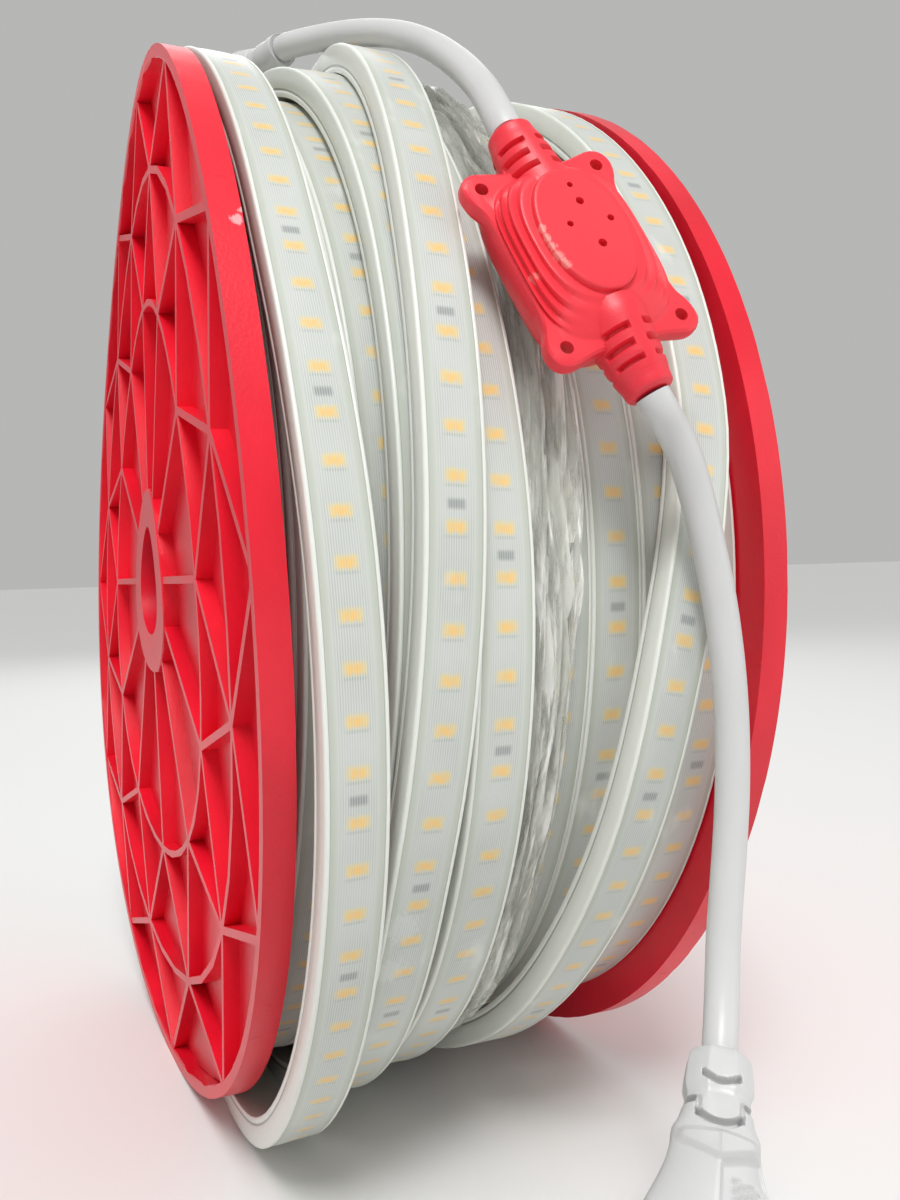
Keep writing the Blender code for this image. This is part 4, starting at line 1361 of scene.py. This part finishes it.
@dataclass
class Lead:
    """A round cable from one piece to another."""

    name: str
    node: str
    diameter: float = 0.0060
    straight: float = 0.0025
    step: float = 0.008
    ring_step: float = 0.0022
    sides: int = 28
    unevenness: float = 0.012
    smoothing: int = 240

    def route(
        self, start: tuple[Vector, Vector], table: Table, end: tuple[Vector, Vector], step: float
    ) -> list[Vector]:
        """Points along the cable's centreline.

        Args:
            start: The first point and the direction out of the first piece.
            table: Points between, from the middle of the near flange's outer face.
            end: The last point and the direction out of the last piece.
            step: Spacing of the points.

        Returns:
            The points, with both ends.
        """
        (first, leaving), (last, arriving) = start, end
        keys = [first + leaving * self.straight]
        keys += [PLAN.point(*place) for place in table] + [last + arriving * self.straight]
        rows = [tuple(key) for key in [keys[0] * 2 - keys[1]] + keys + [keys[-1] * 2 - keys[-2]]]
        fine = [Vector(row) for row in smooth_rows(rows, 24)[24:-24]]
        head = [first.lerp(fine[0], k / 6) for k in range(6)]
        fine = head + fine + [fine[-1].lerp(last, k / 6) for k in range(1, 7)]
        for _ in range(self.smoothing):
            eased = [(a + b * 2 + c) / 4 for a, b, c in zip(fine[4:-6], fine[5:-5], fine[6:-4])]
            fine = fine[:5] + eased + fine[-5:]
        lengths = [0.0]
        for a, b in zip(fine, fine[1:]):
            lengths.append(lengths[-1] + (b - a).length)
        count, index, points = round(lengths[-1] / step), 0, []
        for k in range(count + 1):
            wanted = lengths[-1] * k / count
            while index < len(lengths) - 2 and lengths[index + 1] < wanted:
                index += 1
            share = (wanted - lengths[index]) / (lengths[index + 1] - lengths[index])
            points.append(fine[index].lerp(fine[index + 1], share))
        return points

    def build(
        self,
        material: bpy.types.Material,
        start: tuple[Vector, Vector],
        table: Table,
        end: tuple[Vector, Vector],
    ) -> tuple[bpy.types.Object, list[Vector], float]:
        """Skins the cable.

        Args:
            material: Its finish.
            start: The first point and the direction out of the first piece.
            table: Points between.
            end: The last point and the direction out of the last piece.

        Returns:
            The piece, the points of its centreline and its length.
        """
        points = self.route(start, table, end, self.ring_step)
        radius, rings, side = self.diameter / 2, [], Vector((1.0, 0.0, 0.0))
        for i, point in enumerate(points):
            run = heading(points, i)
            side = squared(side, run)
            other = run.cross(side)
            ring = []
            for k in range(self.sides):
                turn = tau * k / self.sides
                uneven = abs(noise.noise(Vector((i * 0.2, cos(turn), sin(turn)))))
                size = radius * (1 - self.unevenness * uneven)
                ring.append(point + (side * cos(turn) + other * sin(turn)) * size)
            rings.append(ring)
        piece = Skin().plain(rings).build(self.name, material)
        finished(piece, self.node)
        path = self.route(start, table, end, self.step)
        length = sum((b - a).length for a, b in zip(path, path[1:]))
        return piece, path, length


@dataclass
class MainsPlug:
    """The moulded plug: a ringed eight-sided sleeve that spreads into a flat grip, and its two pins."""

    start: tuple[float, float, float] = (0.0703, -0.1412, -0.0819)
    direction: tuple[float, float, float] = (-0.518, -0.567, -0.640)
    across: tuple[float, float, float] = (0.92, -0.40, 0.0)
    length: float = 0.044
    width: float = 0.0352
    thickness: float = 0.0138
    neck: float = 0.0102
    pin_diameter: float = 0.0040
    pin_spacing: float = 0.0186
    crest_at: float = 0.0178
    ridge: float = 0.0013
    slot: float = 0.0019
    groove: float = 0.0010
    panel: float = 0.0012
    rib: float = 0.00075
    rib_pitch: float = 0.00145

    def placement(self) -> Matrix:
        """Y from the cable end to the pins, X across the wide face."""
        return frame_at(PLAN.point(*self.start), Vector(self.direction), Vector(self.across))

    def tip(self) -> tuple[Vector, Vector]:
        """Where the lead arrives, and the direction back along it."""
        placement = self.placement()
        return placement @ Vector((0.0, -PLAN.clearance, 0.0)), -placement.col[1].xyz

    def relief(self, along: float, across: float, half_width: float, panel_side: bool) -> float:
        """How far the broad face stands out at a place, in metres.

        Args:
            along: Distance from the cable end.
            across: Distance from the middle.
            half_width: Half of the width there.
            panel_side: Whether this half of the face carries the ribbed panel.

        Returns:
            The height, less than nothing where the face is pressed in.
        """
        crest = self.crest_at - 0.43 * abs(across)
        inside = window(across, 0.0, half_width - 0.0010, 0.0016)
        rise, fall = (along - 0.0137) / 0.0010, (crest + 0.0009 - along) / 0.0009
        ridge = self.ridge * clamp(rise) * clamp(fall) * inside
        bend = 130 * across * across
        slots = 0.0
        for depth, middle, half, reach in (
            (self.slot, 0.0062, 0.00050, 0.0030), (self.slot, 0.0128, 0.00055, 0.0035),
        ):
            slots += depth * window(along, middle - bend, half, 0.0005) * window(across, 0.0, reach, 0.0006)
        sides = window(abs(across), 0.0034, 0.0003, 0.0006)
        slots += self.groove * window(along, 0.0103, 0.0016, 0.0006) * sides
        if not panel_side:
            return ridge * 0.8 - slots
        past = clamp((along - crest - 0.0008) / 0.0008) * window(along, 0.0250, 0.0140, 0.0014)
        sunk = window(abs(across), half_width / 2, half_width / 2 - 0.0005, 0.0008)
        ribbed = window(abs(across), half_width / 2 + 0.0002, half_width / 2 - 0.0020, 0.0006)
        ribbed *= window(along, 0.0300, 0.0100, 0.0008)
        ribs = 0.5 + 0.5 * cos(tau * (along + 0.55 * abs(across)) / self.rib_pitch)
        return ridge - slots - past * sunk * self.panel - ribbed * self.rib * ribs

    def build_body(self, material: bpy.types.Material) -> bpy.types.Object:
        """Lofts the sleeve and the grip with slots, ridge and ribbed panels, and returns the piece."""
        neck, wide, thick = self.neck / 2, self.width / 2, self.thickness / 2
        keys = (
            (0.0, neck * 0.80, neck * 0.80, 2.6), (0.025, neck * 0.97, neck * 0.97, 2.6),
            (0.13, neck * 1.06, neck * 1.05, 2.6), (0.175, neck * 0.98, neck * 0.98, 2.6),
            (0.20, neck * 1.04, neck * 1.0, 2.6), (0.26, neck * 1.18, neck * 1.06, 2.6),
            (0.30, neck * 1.34, neck * 1.10, 2.5), (0.36, wide * 0.40, thick * 0.86, 2.5),
            (0.44, wide * 0.45, thick * 0.94, 2.4), (0.58, wide * 0.60, thick * 0.98, 2.5),
            (0.72, wide * 0.76, thick, 2.6), (0.88, wide * 0.99, thick * 0.97, 2.8),
            (0.975, wide * 0.995, thick * 0.94, 2.8), (1.0, wide * 0.95, thick * 0.86, 2.8),
        )
        placement, rings, count = self.placement(), [], 144
        for share, width, thickness, power in smooth_rows(keys, 24):
            along = share * self.length
            sleeve = window(share, 0.0, 0.19, 0.06)
            crest = 0.34 * clamp((share - 0.22) / 0.16)
            ring = []
            for k, (x, z) in enumerate(rounded(width, thickness, power, count)):
                turn = tau * (k + 0.5) / count
                corner = (turn + pi / 8) % (pi / 4) - pi / 8
                facet = 1 + sleeve * (0.965 / cos(corner) - 1)
                notch = window(along, 0.0092, 0.00050, 0.0004) * window(abs(cos(turn)), 1.0, 0.30, 0.15)
                size = facet * (1 - 0.0014 * notch / width)
                broad = window(abs(sin(turn)), 1.0, 0.80, 0.3)
                side = 1 if z > 0 else -1
                stand = self.relief(along, x, width, x * side < 0) * broad
                z = z * size * (1 - crest * abs(x) / width) + stand * side
                ring.append(placement @ Vector((x * size, along, z)))
            rings.append(ring)
        piece = Skin().plain(rings).build("plug_moulding", material, 36.0)
        return finished(piece, "plug_body")

    def build_pin(self, side: int, node: str, material: bpy.types.Material) -> bpy.types.Object:
        """Turns one domed pin and returns the piece."""
        foot = (side * self.pin_spacing / 2, self.length + PLAN.clearance, 0.0)
        placement = self.placement() @ Matrix.Translation(foot)
        radius, rings = self.pin_diameter / 2, []
        for reach, size in (
            (0.0, 0.98), (0.0092, 0.98), (0.0094, 0.92), (0.0100, 0.92), (0.0102, 0.98), (0.0171, 0.98),
            (0.0178, 0.88), (0.0183, 0.70), (0.0186, 0.44),
        ):
            outline = rounded(radius * size, radius * size, 2, 32)
            rings.append([placement @ Vector((x, reach, z)) for x, z in outline])
        piece = Skin().plain(rings).build(node + "_turned", material, 50.0)
        return finished(piece, node)


@dataclass
class Studio:
    """The camera at the photo's viewpoint, soft lights, a pale world and a plain floor."""

    eye: tuple[float, float, float] = (-0.08666, -0.28349, 0.12488)
    ahead: tuple[float, float, float] = (0.39665, 0.91758, -0.02679)
    up: tuple[float, float, float] = (0.03860, 0.01249, 0.99918)
    lens: float = 31.797

    def light(self, name: str, place: tuple, target: tuple, size: float, energy: float) -> None:
        """Hangs a square soft light that looks at a point.

        Args:
            name: Its name.
            place: Where it hangs.
            target: The point that it looks at.
            size: Its side in metres.
            energy: Its power in watts.
        """
        data = bpy.data.lights.new(name, "AREA")
        data.size = size
        data.energy = energy
        lamp = add_object(name, data)
        lamp.location = place
        lamp.rotation_euler = (Vector(target) - Vector(place)).to_track_quat("-Z", "Y").to_euler()

    def daylight(self, towards: tuple, energy: float, spread: float) -> None:
        """Adds a wide soft sun that lights the whole floor evenly.

        Args:
            towards: Direction from the object to it.
            energy: Its strength.
            spread: Its width in degrees.
        """
        data = bpy.data.lights.new("daylight", "SUN")
        data.energy = energy
        data.angle = radians(spread)
        lamp = add_object("daylight", data)
        lamp.rotation_euler = Vector(towards).to_track_quat("Z", "Y").to_euler()

    def build_camera(self) -> None:
        """Places the camera."""
        data = bpy.data.cameras.new("photo_view")
        data.sensor_fit = "AUTO"
        data.sensor_width = 36.0
        data.lens = self.lens
        data.clip_start, data.clip_end = 0.01, 50.0
        camera = add_object("photo_view", data)
        ahead = Vector(self.ahead).normalized()
        right = ahead.cross(Vector(self.up)).normalized()
        turn = Matrix((right, right.cross(ahead), -ahead)).transposed().to_4x4()
        turn.translation = Vector(self.eye)
        camera.matrix_world = turn
        bpy.context.scene.camera = camera

    def build_floor(self) -> None:
        """Lays a plain pale floor."""
        _, material, shader = new_material("studio_floor", 0.7)
        shader["Base Color"].default_value = (0.80, 0.80, 0.79, 1.0)
        mesh = bpy.data.meshes.new("studio_floor")
        mesh.from_pydata([(-30, -30, 0), (30, -30, 0), (30, 30, 0), (-30, 30, 0)], [], [(0, 1, 2, 3)])
        mesh.materials.append(material)
        add_object("studio_floor", mesh)

    def build(self) -> None:
        """Sets up the studio."""
        self.build_camera()
        self.build_floor()
        middle = (0.0, 0.0, 0.12)
        self.light("key", (-0.30, -0.80, 1.10), middle, 0.35, 8.0)
        self.light("fill", (0.95, -0.75, 0.45), middle, 0.8, 2.0)
        self.light("back", (0.3, 1.1, 0.9), middle, 0.8, 4.0)
        self.daylight((-0.25, -0.50, 0.95), 0.9, 30.0)
        world = bpy.data.worlds.new("studio")
        world.use_nodes = True
        background = world.node_tree.nodes["Background"].inputs
        background["Color"].default_value = (0.94, 0.94, 0.93, 1.0)
        background["Strength"].default_value = 0.50
        bpy.context.scene.world = world
        bpy.context.scene.view_settings.view_transform = "Standard"


def main() -> None:
    """Builds everything in order."""
    logging.basicConfig(level=logging.INFO, format="%(message)s")
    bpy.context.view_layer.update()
    nodes = frame["nodes"]
    Studio().build()
    shelf = FinishShelf()
    white = shelf.get(Finish.LEAD)
    connector, box, plug = Connector(), RectifierBox(), MainsPlug()
    upper, upper_path, upper_length = Lead("lead_upper_cable", "lead_upper").build(
        white, connector.tip(), UPPER_LEAD, box.tip(-1)
    )
    lower, lower_path, lower_length = Lead("lead_lower_cable", "lead_lower").build(
        white, box.tip(1), LOWER_LEAD, plug.tip()
    )
    connector.build(white)
    housing = box.build(shelf.get(Finish.BOX))
    body = plug.build_body(white)
    pins = [
        plug.build_pin(-1, "plug_pin_left", shelf.get(Finish.PIN)),
        plug.build_pin(1, "plug_pin_right", shelf.get(Finish.PIN)),
    ]
    LOG.info("leads are %.3f m and %.3f m long", upper_length, lower_length)
    milky = shelf.get(Finish.STRIP)
    LooseStrip("strip_loose_turns", LOOSE_TURNS, 0.0596).build(milky)
    LooseStrip("strip_under_turn", UNDER_TURN, 0.0047).build(milky)
    TightWinding().build(milky)
    ReelFlanges().build(nodes, shelf.get(Finish.REEL))
    WrapFilm().build(shelf.get(Finish.FILM))


if __name__ == "__main__":
    main()
